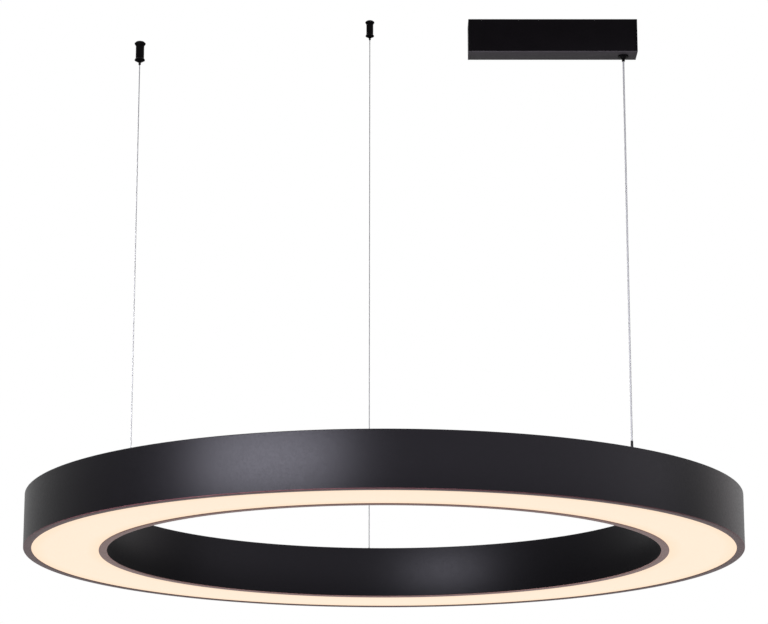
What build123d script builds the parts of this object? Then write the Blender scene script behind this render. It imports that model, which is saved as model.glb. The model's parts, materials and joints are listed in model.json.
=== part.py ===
from build123d import *

import os
from math import cos, radians, sin, tan

# LED ring pendant light: a black ring with an opal underside, hung on two steel wires and a
# load-bearing feed cable. Each of the three is held by a ball grip that locks by itself: two of
# the grips are ceiling anchors, and the third sits in the floor of the canopy.
#
# Millimetres, +Z up. The origin is the middle of the ceiling bracket's upper face, +X runs along
# the canopy and +Y away from the viewer.

# Ring: overall sizes
RING_OUTER_D = 800.0
RING_BAND_WIDTH = 92.0
RING_HEIGHT = 60.0
CEILING_TO_RING_BOTTOM = 540.0

# Ring: rolled rims, each a wall with a lip below and a ledge above
RIM_WALL = 2.0
RIM_LIP_WIDTH = 9.0
RIM_LIP_THICK = 0.8
RIM_LEDGE_WIDTH = 10.0
RIM_LEDGE_THICK = 2.0
RIM_EDGE_ROUND = 0.9

# Ring: top plate, diffuser and the screws that hold the plate on the rims
PLATE_THICK = 2.0
PLATE_GAP = 0.3
DIFFUSER_THICK = 3.0
DIFFUSER_GAP = 0.8
RIM_SCREW_COUNT = 8
RIM_SCREW_R = 1.5
RIM_SCREW_HEAD_R = 2.8
RIM_SCREW_HEAD_HEIGHT = 1.5
RIM_SCREW_LENGTH = 8.0

# Ring: light boards under the top plate, with chips soldered on them and links between them
BOARD_COUNT = 8
BOARD_SIDE_GAP = 8.0
BOARD_THICK = 1.6
BOARD_END_GAP = 4.0
BOARD_TURN = 1.0
CHIPS_PER_ROW = 12
CHIP_EDGE_INSET = 14.0
CHIP_LENGTH = 3.5
CHIP_WIDTH = 2.8
CHIP_HEIGHT = 0.8
HANGER_CLEARANCE = 3.5
LINK_LENGTH = 16.0
LINK_WIDTH = 5.0
LINK_HEIGHT = 3.0
LINK_EDGE_INSET = 4.5

# Where the wires meet the ring, in degrees round its axis
FEED_ANGLE = 316.7
LEFT_ANGLE = 221.9
FAR_ANGLE = 93.0

# Wires, feed cable and the heights of the two anchors above the canopy's ceiling face
WIRE_R = 0.6
CABLE_R = 1.0
LEFT_ANCHOR_RISE = -19.0
FAR_ANCHOR_RISE = 223.0
WIRE_SLIP = 0.2
CRIMP_SLIP = 0.05
SCREW_SLIP = 0.1

# Hanger bosses on the ring, their nuts and the crimped wire stops
BOSS_R = 5.0
BOSS_HEIGHT = 7.0
BOSS_CHAMFER = 1.0
BOSS_STEM_R = 3.0
NUT_ACROSS_FLATS = 10.0
NUT_THICK = 5.0
STEM_PAST_NUT = 1.0
STOP_WALL = 1.2
STOP_LENGTH = 6.0
WIRE_PAST_STOP = 1.0

# Feed gland on the ring, its nut, sleeve and cable stop
GLAND_R = 6.0
GLAND_HEIGHT = 5.0
GLAND_CHAMFER = 1.0
GLAND_STEM_R = 4.0
GLAND_NUT_ACROSS_FLATS = 13.0
GLAND_NUT_THICK = 4.0
SLEEVE_FOOT_WALL = 0.6
SLEEVE_TIP_WALL = 0.35
SLEEVE_HEIGHT = 20.0
SLEEVE_SEAT_DEPTH = 4.0
CABLE_STOP_WALL = 1.6

# Feed connector on a light board and the two cores that run to it
CONNECTOR_LENGTH = 10.0
CONNECTOR_WIDTH = 8.0
CONNECTOR_HEIGHT = 6.0
CONNECTOR_REACH = 26.0
CORE_R = 0.45
CORE_PITCH = 1.2
CORE_BEND_R = 2.5
CORE_DROP = 4.0

# Canopy: extruded channel with an end cap at each end
CANOPY_LENGTH = 181.5
CANOPY_WIDTH = 27.0
CANOPY_HEIGHT = 37.0
CANOPY_WALL = 1.5
CANOPY_EDGE_ROUND = 0.7
CAP_THICK = 3.0
CAP_SPIGOT = 2.0
CAP_GAP = 0.1
CAP_SCREW_R = 2.0
CAP_SCREW_HEAD_R = 3.6
CAP_SCREW_HEAD_HEIGHT = 2.0
CAP_SCREW_LENGTH = 8.5

# Ceiling bracket: folded strip with slots for the ceiling screws
BRACKET_WIDTH = 22.0
BRACKET_THICK = 1.5
BRACKET_EAR = 14.0
BRACKET_CAP_GAP = 0.3
SLOT_SPACING = 100.0
SLOT_LENGTH = 9.0
SLOT_WIDTH = 4.6
MAINS_ENTRY_R = 4.5
MAINS_ENTRY_END_INSET = 24.5

# Inside the canopy: driver, terminal block, earth screw and leads
DRIVER_LENGTH = 76.0
DRIVER_WIDTH = 20.0
DRIVER_HEIGHT = 22.0
DRIVER_EDGE_ROUND = 1.5
DRIVER_TAB_LENGTH = 6.0
DRIVER_TAB_WIDTH = 12.0
DRIVER_TAB_THICK = 3.0
DRIVER_SCREW_R = 1.5
DRIVER_SCREW_HEAD_R = 2.8
DRIVER_SCREW_HEAD_HEIGHT = 1.8
TERMINAL_LENGTH = 15.0
TERMINAL_WIDTH = 15.0
TERMINAL_HEIGHT = 14.0
TERMINAL_END_INSET = 4.0
TERMINAL_POLES = 3
TERMINAL_PITCH = 4.5
TERMINAL_ENTRY_R = 1.3
TERMINAL_ENTRY_DEPTH = 5.0
TERMINAL_WELL_R = 1.7
TERMINAL_WELL_DEPTH = 4.0
MAINS_LEAD_R = 1.0
MAINS_LEAD_DEPTH = 4.0
OUTPUT_LEAD_BEND_R = 5.0
EARTH_SCREW_END_INSET = 15.0
EARTH_SCREW_R = 2.0
EARTH_SCREW_HEAD_R = 3.5
EARTH_SCREW_HEAD_HEIGHT = 2.5

# Ball grip: a sprung plunger cages three balls in a taper round the wire
GRIP_BALL_R = 0.8
GRIP_BALL_COUNT = 3
GRIP_BALL_SLACK = 0.03
GRIP_BALL_WINDOW_SLIP = 0.08
GRIP_NOSE_WALL = 0.5
GRIP_NOSE_SLIP = 0.06
GRIP_NOSE_OUT = 3.2
GRIP_NOSE_TAPER = 0.4
GRIP_CAGE_LAND = 0.32
GRIP_CAGE_SLIP = 0.2
GRIP_CAGE_COVER = 1.15
GRIP_END_WALL = 1.2
GRIP_REST_GAP = 0.05
GRIP_POCKET_LENGTH = 2.0
GRIP_TAPER_LENGTH = 4.1
GRIP_TAPER_ANGLE = 15.0
GRIP_BORE_LENGTH = 2.0
GRIP_SEAT_THICK = 1.0
GRIP_SEAT_SLIP = 0.02
GRIP_SPRING_WIRE_R = 0.18
GRIP_SPRING_SLIP = 0.52
GRIP_SPRING_TURNS = 4
GRIP_SPRING_END_GAP = 0.08
WIRE_PAST_SEAT = 2.0

# Ceiling anchor: a base that is screwed to the ceiling and a barrel that screws on to the base
ANCHOR_SCREW_R = 1.8
ANCHOR_SCREW_HEAD_ROOM = 1.1
ANCHOR_SCREW_RECESS = 3.5
ANCHOR_BASE_WALL = 0.7
ANCHOR_BASE_LENGTH = 9.7
ANCHOR_BASE_RELIEF = 2.0
ANCHOR_THREAD_SLIP = 0.05
ANCHOR_BARREL_WALL = 0.85
ANCHOR_SEAT_COVER = 1.0
ANCHOR_FLANGE_REACH = 1.5
ANCHOR_FLANGE_CHAMFER = 1.6
ANCHOR_FLANGE_THICK = 2.2
ANCHOR_NECK_DROP = 2.6
ANCHOR_COLLAR_REACH = 1.05
ANCHOR_COLLAR_HEIGHT = 1.0
ANCHOR_COLLAR_FLARE = 1.4
ANCHOR_END_CONE = 1.9
ANCHOR_END_LAND = 0.94

# Canopy grip body: flange under the canopy's floor, threaded tube through it and a nut above
GRIP_BODY_WALL = 0.95
GRIP_BODY_PAST_SEAT = 0.6
GRIP_FLANGE_REACH = 1.1
GRIP_FLANGE_THICK = 1.6
GRIP_CONE_DROP = 1.8
GRIP_CONE_ROOT_WALL = 1.05
GRIP_CONE_END_LAND = 1.04
GRIP_NUT_ACROSS_FLATS = 13.0
GRIP_NUT_THICK = 4.0
GRIP_NUT_TO_CAP = 2.0


def hex_corner_r(across_flats):
    """Distance from a hexagon's middle to its corners."""
    return across_flats / 2 / cos(radians(30))


# Derived sizes and places
RING_INNER_D = RING_OUTER_D - 2 * RING_BAND_WIDTH
RING_OUTER_R = RING_OUTER_D / 2
RING_INNER_R = RING_INNER_D / 2
BAND_R = (RING_OUTER_R + RING_INNER_R) / 2
RING_BOTTOM = -CEILING_TO_RING_BOTTOM
RING_TOP = RING_BOTTOM + RING_HEIGHT
PLATE_LOW = RING_TOP - PLATE_THICK
LEDGE_LOW = PLATE_LOW - RIM_LEDGE_THICK
BOARD_LOW = PLATE_LOW - BOARD_THICK
BOARD_WIDTH = RING_BAND_WIDTH - 2 * (RIM_LEDGE_WIDTH + BOARD_SIDE_GAP)
BOARD_STEP = 360 / BOARD_COUNT
BOARD_ARC = BOARD_STEP - BOARD_END_GAP / radians(1) / BAND_R
HANGER_CLEAR_R = hex_corner_r(max(NUT_ACROSS_FLATS, GLAND_NUT_ACROSS_FLATS)) + HANGER_CLEARANCE
BOSS_STEM_END = PLATE_LOW - NUT_THICK - STEM_PAST_NUT
GLAND_STEM_END = PLATE_LOW - GLAND_NUT_THICK - STEM_PAST_NUT
SLEEVE_SEAT = RING_TOP + GLAND_HEIGHT - SLEEVE_SEAT_DEPTH
GRIP_SEAT_LOW = GRIP_END_WALL + GRIP_POCKET_LENGTH + GRIP_TAPER_LENGTH + GRIP_BORE_LENGTH
GRIP_SEAT_TOP = GRIP_SEAT_LOW + GRIP_SEAT_THICK
CANOPY_FLOOR = -CANOPY_HEIGHT
CANOPY_GRIP_Z = CANOPY_FLOOR - GRIP_FLANGE_THICK - GRIP_CONE_DROP
GRIP_TO_END = CAP_THICK + CAP_SPIGOT + hex_corner_r(GRIP_NUT_ACROSS_FLATS) + GRIP_NUT_TO_CAP
FEED_X = CANOPY_LENGTH / 2 - GRIP_TO_END
CABLE_LOW = GLAND_STEM_END - STOP_LENGTH - WIRE_PAST_STOP
CABLE_HIGH = CANOPY_GRIP_Z + GRIP_SEAT_TOP + WIRE_PAST_SEAT
RING_X = FEED_X - BAND_R * cos(radians(FEED_ANGLE))
RING_Y = -BAND_R * sin(radians(FEED_ANGLE))
HANGER_ANGLES = {"left": LEFT_ANGLE, "far": FAR_ANGLE}
ANCHOR_TOPS = {"left": LEFT_ANCHOR_RISE, "far": FAR_ANCHOR_RISE}
ANCHOR_HEIGHT = GRIP_SEAT_TOP + ANCHOR_SEAT_COVER + ANCHOR_BASE_RELIEF + ANCHOR_BASE_LENGTH
ANCHOR_RECESS_R = ANCHOR_SCREW_R + ANCHOR_SCREW_HEAD_ROOM
ANCHOR_THREAD_R = ANCHOR_RECESS_R + ANCHOR_BASE_WALL
ANCHOR_BARREL_R = ANCHOR_THREAD_R + ANCHOR_THREAD_SLIP + ANCHOR_BARREL_WALL
BRACKET_HALF = CANOPY_LENGTH / 2 - CAP_THICK - CAP_SPIGOT - BRACKET_CAP_GAP
CAP_SCREW_Z = -(BRACKET_THICK + BRACKET_EAR) / 2
TERMINAL_X = -BRACKET_HALF + TERMINAL_END_INSET + TERMINAL_LENGTH / 2
MAINS_POLE_Y = TERMINAL_PITCH * (TERMINAL_POLES - 1) / 2
MAINS_LEAD_Z = -BRACKET_THICK - TERMINAL_HEIGHT / 2
OUTPUT_LEAD_Z = -BRACKET_THICK - DRIVER_HEIGHT / 2

HUNG = (Align.CENTER, Align.CENTER, Align.MAX)
SIDES = {"left": -1, "right": 1}


def write(node, *solids):
    """Write one named piece, or a group of like pieces, as a STEP file."""
    shape = solids[0] if len(solids) == 1 else Compound(children=list(solids))
    export_step(shape, f"parts/{node}.step")


def turned(*points):
    """Solid of revolution about Z from a closed outline of (radius, z) points."""
    return revolve(Plane.XZ * make_face(Polyline(*points, close=True)), Axis.Z)


def tube(inner_r, outer_r, low, high):
    """Plain round tube about Z between two heights."""
    return turned((inner_r, low), (outer_r, low), (outer_r, high), (inner_r, high))


def rod(radius, low, high):
    """Plain round rod about Z between two heights."""
    align = (Align.CENTER, Align.CENTER, Align.MIN)
    return Pos(0, 0, low) * Cylinder(radius, high - low, align=align)


def hex_nut(across_flats, bore_r, low, high):
    """Hexagon nut about Z between two heights."""
    blank = extrude(RegularPolygon(across_flats / 2, 6, major_radius=False), high - low)
    return Pos(0, 0, low) * blank - rod(bore_r, low, high)


def pan_screw(shank_r, head_r, head_height, length):
    """Screw that points down from its head's underside at z 0, with a low domed head above."""
    return turned(
        (0, -length),
        (shank_r, -length),
        (shank_r, 0),
        (head_r, 0),
        (head_r, head_height / 2),
        ((head_r + shank_r) / 2, head_height),
        (0, head_height),
    )


def countersunk_screw(shank_r, head_r, head_height, length, slip=0.0):
    """Screw that points down from its flat head's top at z 0; slip widens it to cut its hole."""
    return turned(
        (0, -length),
        (shank_r + slip, -length),
        (shank_r + slip, -head_height),
        (head_r + slip, 0),
        (0, 0),
    )


def on_ring(angle, radius=BAND_R):
    """Place at an angle round the ring's axis: x points outwards and y along the ring."""
    return Pos(RING_X, RING_Y, 0) * Rot(0, 0, angle) * Pos(radius, 0, 0)


def facing(side):
    """Turn that points +X to the given end of the canopy (+1 right, -1 left)."""
    return Rot(0, 0, 0 if side > 0 else 180)


# Ring housing

def rim_screw_places():
    """Places of the screws that join the top plate to the two ledges."""
    ledge_middle = (RIM_LEDGE_WIDTH + RIM_WALL) / 2
    for row_r in (RING_OUTER_R - ledge_middle, RING_INNER_R + ledge_middle):
        for i in range(RIM_SCREW_COUNT):
            yield on_ring((i + 0.5) * 360 / RIM_SCREW_COUNT, row_r)


def rim(wall_r, inward):
    """Rolled rim: a wall at wall_r, with its lip and ledge on the side that inward gives (+1, -1)."""
    inside = wall_r + inward * RIM_WALL
    lip_end = wall_r + inward * RIM_LIP_WIDTH
    ledge_end = wall_r + inward * RIM_LEDGE_WIDTH
    body = turned(
        (wall_r, RING_BOTTOM),
        (wall_r, RING_TOP),
        (inside, RING_TOP),
        (inside, PLATE_LOW),
        (ledge_end, PLATE_LOW),
        (ledge_end, LEDGE_LOW),
        (inside, LEDGE_LOW),
        (inside, RING_BOTTOM + RIM_LIP_THICK),
        (lip_end, RING_BOTTOM + RIM_LIP_THICK),
        (lip_end, RING_BOTTOM),
    )
    wall_edges = [e for e in body.edges().filter_by(GeomType.CIRCLE) if abs(e.radius - wall_r) < 0.01]
    body = Pos(RING_X, RING_Y, 0) * fillet(wall_edges, RIM_EDGE_ROUND)
    hole = rod(RIM_SCREW_R + SCREW_SLIP, LEDGE_LOW, PLATE_LOW)
    return body - [place * hole for place in rim_screw_places()]


def top_plate():
    """Flat annular plate that rests on the two ledges and carries the boards and hangers."""
    outer = RING_OUTER_R - RIM_WALL - PLATE_GAP
    inner = RING_INNER_R + RIM_WALL + PLATE_GAP
    plate = Pos(RING_X, RING_Y, 0) * tube(inner, outer, PLATE_LOW, RING_TOP)
    boss_hole = rod(BOSS_STEM_R + SCREW_SLIP, PLATE_LOW, RING_TOP)
    gland_hole = rod(GLAND_STEM_R + SCREW_SLIP, PLATE_LOW, RING_TOP)
    plate -= rim_screws(SCREW_SLIP)
    plate -= [on_ring(angle) * boss_hole for angle in HANGER_ANGLES.values()]
    return plate - on_ring(FEED_ANGLE) * gland_hole


def diffuser():
    """Opal annulus that lies on the lips of the two rims."""
    low = RING_BOTTOM + RIM_LIP_THICK
    outer = RING_OUTER_R - RIM_WALL - DIFFUSER_GAP
    inner = RING_INNER_R + RIM_WALL + DIFFUSER_GAP
    return Pos(RING_X, RING_Y, 0) * tube(inner, outer, low, low + DIFFUSER_THICK)


def rim_screws(slip=0.0):
    """Screws down through the top plate into the ledges, flush with the plate."""
    sizes = (RIM_SCREW_R, RIM_SCREW_HEAD_R, RIM_SCREW_HEAD_HEIGHT, RIM_SCREW_LENGTH)
    screw = countersunk_screw(*sizes, slip)
    return [place * Pos(0, 0, RING_TOP) * screw for place in rim_screw_places()]


# Light boards

def board_start(index):
    """Angle at which a light board begins."""
    return BOARD_TURN + index * BOARD_STEP + (BOARD_STEP - BOARD_ARC) / 2


def light_board(index):
    """Arc-shaped board with two rows of chips, cut away round the hangers and the feed gland."""
    section = Plane.XZ * Pos(BAND_R, (PLATE_LOW + BOARD_LOW) / 2) * Rectangle(BOARD_WIDTH, BOARD_THICK)
    board = Pos(RING_X, RING_Y, 0) * Rot(0, 0, board_start(index)) * revolve(section, Axis.Z, BOARD_ARC)
    hangers = [on_ring(angle) for angle in (*HANGER_ANGLES.values(), FEED_ANGLE)]
    board -= [place * rod(HANGER_CLEAR_R, BOARD_LOW, PLATE_LOW) for place in hangers]
    chip = Box(CHIP_WIDTH, CHIP_LENGTH, CHIP_HEIGHT, align=HUNG)
    chips = []
    for side in (-1, 1):
        row_r = BAND_R + side * (BOARD_WIDTH / 2 - CHIP_EDGE_INSET)
        for i in range(CHIPS_PER_ROW):
            place = on_ring(board_start(index) + (i + 0.5) * BOARD_ARC / CHIPS_PER_ROW, row_r)
            nearest = min((place.position - hanger.position).length for hanger in hangers)
            if nearest > HANGER_CLEAR_R + CHIP_LENGTH:
                chips.append(place * Pos(0, 0, BOARD_LOW) * chip)
    return board + chips


def board_links():
    """Plug-in links that carry the current from each board to the next, except at the feed."""
    link = Box(LINK_WIDTH, LINK_LENGTH, LINK_HEIGHT, align=HUNG)
    link_r = BAND_R + BOARD_WIDTH / 2 - LINK_EDGE_INSET
    gaps = [BOARD_TURN + i * BOARD_STEP for i in range(BOARD_COUNT)]
    feed_gap = min(gaps, key=lambda gap: abs(gap - FEED_ANGLE))
    return [on_ring(gap, link_r) * Pos(0, 0, BOARD_LOW) * link for gap in gaps if gap != feed_gap]


# Hangers on the ring

def hanger_boss():
    """Turned boss on the top plate, with a threaded stem through it and a hole for the wire."""
    bore_r = WIRE_R + WIRE_SLIP
    top = RING_TOP + BOSS_HEIGHT
    return turned(
        (bore_r, BOSS_STEM_END),
        (BOSS_STEM_R, BOSS_STEM_END),
        (BOSS_STEM_R, RING_TOP),
        (BOSS_R, RING_TOP),
        (BOSS_R, top - BOSS_CHAMFER),
        (BOSS_R - BOSS_CHAMFER, top),
        (bore_r, top),
    )


def hanger_nut():
    """Nut that clamps the boss to the top plate from inside the ring."""
    return hex_nut(NUT_ACROSS_FLATS, BOSS_STEM_R + SCREW_SLIP, PLATE_LOW - NUT_THICK, PLATE_LOW)


def wire_stop():
    """Ferrule crimped on the wire's end, under the stem of the boss."""
    return tube(WIRE_R + CRIMP_SLIP, WIRE_R + STOP_WALL, BOSS_STEM_END - STOP_LENGTH, BOSS_STEM_END)


def suspension_wire(anchor_top):
    """Straight steel wire from its stop in the ring to its end inside the anchor."""
    low = BOSS_STEM_END - STOP_LENGTH - WIRE_PAST_STOP
    return rod(WIRE_R, low, anchor_top - ANCHOR_HEIGHT + GRIP_SEAT_TOP + WIRE_PAST_SEAT)


# Feed point on the ring

def feed_gland():
    """Gland on the top plate that the feed cable passes through, with a seat for the sleeve."""
    bore_r = CABLE_R + WIRE_SLIP
    seat_r = CABLE_R + SLEEVE_FOOT_WALL + CRIMP_SLIP
    top = RING_TOP + GLAND_HEIGHT
    return turned(
        (bore_r, GLAND_STEM_END),
        (GLAND_STEM_R, GLAND_STEM_END),
        (GLAND_STEM_R, RING_TOP),
        (GLAND_R, RING_TOP),
        (GLAND_R, top - GLAND_CHAMFER),
        (GLAND_R - GLAND_CHAMFER, top),
        (seat_r, top),
        (seat_r, SLEEVE_SEAT),
        (bore_r, SLEEVE_SEAT),
    )


def feed_gland_nut():
    """Nut that clamps the gland to the top plate."""
    return hex_nut(GLAND_NUT_ACROSS_FLATS, GLAND_STEM_R + SCREW_SLIP, PLATE_LOW - GLAND_NUT_THICK, PLATE_LOW)


def feed_sleeve():
    """Tapered sleeve that stands in the gland and keeps the feed cable from kinking."""
    bore_r = CABLE_R + CRIMP_SLIP
    return turned(
        (bore_r, SLEEVE_SEAT),
        (CABLE_R + SLEEVE_FOOT_WALL, SLEEVE_SEAT),
        (CABLE_R + SLEEVE_FOOT_WALL, RING_TOP + GLAND_HEIGHT),
        (CABLE_R + SLEEVE_TIP_WALL, RING_TOP + SLEEVE_HEIGHT),
        (bore_r, RING_TOP + SLEEVE_HEIGHT),
    )


def feed_stop():
    """Ferrule crimped on the feed cable, under the gland's stem."""
    low = GLAND_STEM_END - STOP_LENGTH
    return tube(CABLE_R + CRIMP_SLIP, CABLE_R + CABLE_STOP_WALL, low, GLAND_STEM_END)


def feed_connector():
    """Socket on the board beside the feed gland."""
    socket = Box(CONNECTOR_WIDTH, CONNECTOR_LENGTH, CONNECTOR_HEIGHT, align=HUNG)
    return Pos(0, CONNECTOR_REACH, BOARD_LOW) * socket


def feed_leads():
    """Two cores that leave the cable's end, hang in a bend and rise into the connector."""
    bend_low = CABLE_LOW - CORE_DROP
    path = FilletPolyline(
        (0, 0, CABLE_LOW),
        (0, 0, bend_low),
        (0, CONNECTOR_REACH, bend_low),
        (0, CONNECTOR_REACH, BOARD_LOW - CONNECTOR_HEIGHT),
        radius=CORE_BEND_R,
    )
    lead = sweep(Plane.XY.offset(CABLE_LOW) * Circle(CORE_R), path)
    return [Pos(side * CORE_PITCH / 2, 0, 0) * lead for side in (-1, 1)]


# Ball grip, about Z with the hole that its wire leaves by at z 0

class BallGrip:
    """Sizes and pieces of the ball grip for a wire of the given radius."""

    def __init__(self, wire_r):
        slope = radians(GRIP_TAPER_ANGLE)
        self.taper_low = GRIP_END_WALL + GRIP_POCKET_LENGTH
        self.bore_r = wire_r + WIRE_SLIP
        self.nose_r = self.bore_r + GRIP_NOSE_WALL
        self.nose_hole_r = self.nose_r + GRIP_NOSE_SLIP
        self.ball_orbit_r = wire_r + GRIP_BALL_R + GRIP_BALL_SLACK
        self.cage_r = self.ball_orbit_r + GRIP_CAGE_LAND
        self.pocket_r = self.cage_r + GRIP_CAGE_SLIP
        self.body_bore_r = self.pocket_r + GRIP_TAPER_LENGTH * tan(slope)
        wedge_r = self.ball_orbit_r + (GRIP_BALL_R + GRIP_BALL_SLACK) / cos(slope)
        self.ball_z = self.taper_low + (wedge_r - self.pocket_r) / tan(slope)
        self.cage_top = self.ball_z + GRIP_CAGE_COVER
        self.coil_r = wire_r + GRIP_SPRING_SLIP + GRIP_SPRING_WIRE_R

    def inner_outline(self):
        """Inner wall of the grip's body, from the nose hole up to the top of the taper."""
        return [
            (self.nose_hole_r, 0),
            (self.nose_hole_r, GRIP_END_WALL),
            (self.pocket_r, GRIP_END_WALL),
            (self.pocket_r, self.taper_low),
            (self.body_bore_r, self.taper_low + GRIP_TAPER_LENGTH),
        ]

    def round_the_wire(self, solid):
        """Copies of a solid at the place of each ball."""
        return [Rot(0, 0, i * 360 / GRIP_BALL_COUNT) * solid for i in range(GRIP_BALL_COUNT)]

    def balls(self):
        """Balls that wedge between the wire and the taper."""
        return self.round_the_wire(Pos(self.ball_orbit_r, 0, self.ball_z) * Sphere(GRIP_BALL_R))

    def plunger(self):
        """Nose that is pressed to free the wire, with the cage for the balls above it."""
        shoulder = GRIP_END_WALL + GRIP_REST_GAP
        body = turned(
            (self.bore_r, -GRIP_NOSE_OUT),
            (self.nose_r - GRIP_NOSE_TAPER, -GRIP_NOSE_OUT),
            (self.nose_r, GRIP_NOSE_TAPER - GRIP_NOSE_OUT),
            (self.nose_r, shoulder),
            (self.cage_r, shoulder),
            (self.cage_r, self.cage_top),
            (self.bore_r, self.cage_top),
        )
        window = rod(GRIP_BALL_R + GRIP_BALL_WINDOW_SLIP, 0, self.pocket_r)
        return body - self.round_the_wire(Pos(0, 0, self.ball_z) * Rot(0, 90, 0) * window)

    def seat(self):
        """Ring pressed into the body above the spring."""
        return tube(self.bore_r, self.body_bore_r - GRIP_SEAT_SLIP, GRIP_SEAT_LOW, GRIP_SEAT_TOP)

    def spring(self):
        """Coil spring between the cage and the seat."""
        low = self.cage_top + GRIP_SPRING_WIRE_R + GRIP_SPRING_END_GAP
        high = GRIP_SEAT_LOW - GRIP_SPRING_WIRE_R - GRIP_SPRING_END_GAP
        path = Helix((high - low) / GRIP_SPRING_TURNS, high - low, self.coil_r, center=(0, 0, low))
        section = Plane(path @ 0, z_dir=path % 0) * Circle(GRIP_SPRING_WIRE_R)
        return sweep(section, path, is_frenet=True)


WIRE_GRIP = BallGrip(WIRE_R)
CABLE_GRIP = BallGrip(CABLE_R)
GRIP_BODY_R = CABLE_GRIP.body_bore_r + GRIP_BODY_WALL


def write_grip(name, grip, place):
    """Write the pieces that every ball grip has inside its body."""
    write(f"{name}_seat", place * grip.seat())
    write(f"{name}_spring", place * grip.spring())
    write(f"{name}_plunger", place * grip.plunger())
    write(f"{name}_balls", *[place * ball for ball in grip.balls()])


# Ceiling anchors

def anchor_base():
    """Flanged base with the ceiling screw's hole, about Z with its ceiling face at z 0."""
    flange_r = ANCHOR_BARREL_R + ANCHOR_FLANGE_REACH
    neck = -ANCHOR_FLANGE_THICK - ANCHOR_NECK_DROP
    recess = ANCHOR_SCREW_RECESS - ANCHOR_BASE_LENGTH
    return turned(
        (ANCHOR_SCREW_R, 0),
        (flange_r - ANCHOR_FLANGE_CHAMFER, 0),
        (flange_r, -ANCHOR_FLANGE_CHAMFER),
        (flange_r, -ANCHOR_FLANGE_THICK),
        (ANCHOR_BARREL_R, neck),
        (ANCHOR_THREAD_R, neck),
        (ANCHOR_THREAD_R, -ANCHOR_BASE_LENGTH),
        (ANCHOR_RECESS_R, -ANCHOR_BASE_LENGTH),
        (ANCHOR_RECESS_R, recess),
        (ANCHOR_SCREW_R, recess),
    )


def anchor_barrel():
    """Barrel with the grip's taper inside and a collar round its lower end."""
    top = ANCHOR_HEIGHT - ANCHOR_FLANGE_THICK - ANCHOR_NECK_DROP
    thread_r = ANCHOR_THREAD_R + ANCHOR_THREAD_SLIP
    thread_low = GRIP_SEAT_TOP + ANCHOR_SEAT_COVER
    collar_r = ANCHOR_BARREL_R + ANCHOR_COLLAR_REACH
    collar_top = ANCHOR_END_CONE + ANCHOR_COLLAR_HEIGHT
    return turned(
        *WIRE_GRIP.inner_outline(),
        (WIRE_GRIP.body_bore_r, thread_low),
        (thread_r, thread_low),
        (thread_r, top),
        (ANCHOR_BARREL_R, top),
        (ANCHOR_BARREL_R, collar_top + ANCHOR_COLLAR_FLARE),
        (collar_r, collar_top),
        (collar_r, ANCHOR_END_CONE),
        (WIRE_GRIP.nose_hole_r + ANCHOR_END_LAND, 0),
    )


def write_hanger(name):
    """Write one suspension line: its hanger on the ring, its wire and its ceiling anchor."""
    place = on_ring(HANGER_ANGLES[name])
    anchor_top = ANCHOR_TOPS[name]
    grip_place = place * Pos(0, 0, anchor_top - ANCHOR_HEIGHT)
    write(f"hanger_boss_{name}", place * hanger_boss())
    write(f"hanger_nut_{name}", place * hanger_nut())
    write(f"wire_stop_{name}", place * wire_stop())
    write(f"{name}_wire", place * suspension_wire(anchor_top))
    write(f"{name}_anchor_base", place * Pos(0, 0, anchor_top) * anchor_base())
    write(f"{name}_anchor_barrel", grip_place * anchor_barrel())
    write_grip(f"{name}_anchor", WIRE_GRIP, grip_place)


# Canopy

def canopy_block(length):
    """Block with the canopy's outer section, its middle at x 0."""
    block = Box(length, CANOPY_WIDTH, CANOPY_HEIGHT, align=HUNG)
    return fillet(block.edges().filter_by(Axis.X).group_by(Axis.Z)[0], CANOPY_EDGE_ROUND)


def canopy_channel():
    """Extruded channel, open to the ceiling, with a hole in its floor for the cable grip."""
    length = CANOPY_LENGTH - 2 * CAP_THICK
    hollow = Box(length, CANOPY_WIDTH - 2 * CANOPY_WALL, CANOPY_HEIGHT - CANOPY_WALL, align=HUNG)
    grip_hole = rod(GRIP_BODY_R + SCREW_SLIP, CANOPY_FLOOR, CANOPY_FLOOR + CANOPY_WALL)
    return canopy_block(length) - hollow - Pos(FEED_X, 0, 0) * grip_hole


def cap_screw(slip=0.0):
    """Countersunk screw along X with its head at the right end cap; slip widens it to cut its hole."""
    sizes = (CAP_SCREW_R, CAP_SCREW_HEAD_R, CAP_SCREW_HEAD_HEIGHT, CAP_SCREW_LENGTH)
    return Pos(CANOPY_LENGTH / 2, 0, CAP_SCREW_Z) * Rot(0, 90, 0) * countersunk_screw(*sizes, slip)


def end_cap():
    """End cap for the right end, with a spigot that fits inside the channel."""
    plate_x = (CANOPY_LENGTH - CAP_THICK) / 2
    spigot_x = CANOPY_LENGTH / 2 - CAP_THICK - CAP_SPIGOT / 2
    spigot_width = CANOPY_WIDTH - 2 * (CANOPY_WALL + CAP_GAP)
    spigot = Box(CAP_SPIGOT, spigot_width, CANOPY_HEIGHT - CANOPY_WALL - CAP_GAP, align=HUNG)
    cap = Pos(plate_x, 0, 0) * canopy_block(CAP_THICK) + Pos(spigot_x, 0, 0) * spigot
    return cap - cap_screw(SCREW_SLIP)


def driver_screw_places():
    """Places of the two screws that hold the driver's tabs to the bracket."""
    return [Pos(side * (DRIVER_LENGTH + DRIVER_TAB_LENGTH) / 2, 0, 0) for side in SIDES.values()]


def earth_screw_place():
    """Place of the earth screw on the bracket."""
    return Pos(BRACKET_HALF - EARTH_SCREW_END_INSET, 0, 0)


def mains_entry_place():
    """Place of the hole in the bracket where the house's wires come in."""
    return Pos(MAINS_ENTRY_END_INSET - BRACKET_HALF, 0, 0)


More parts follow.
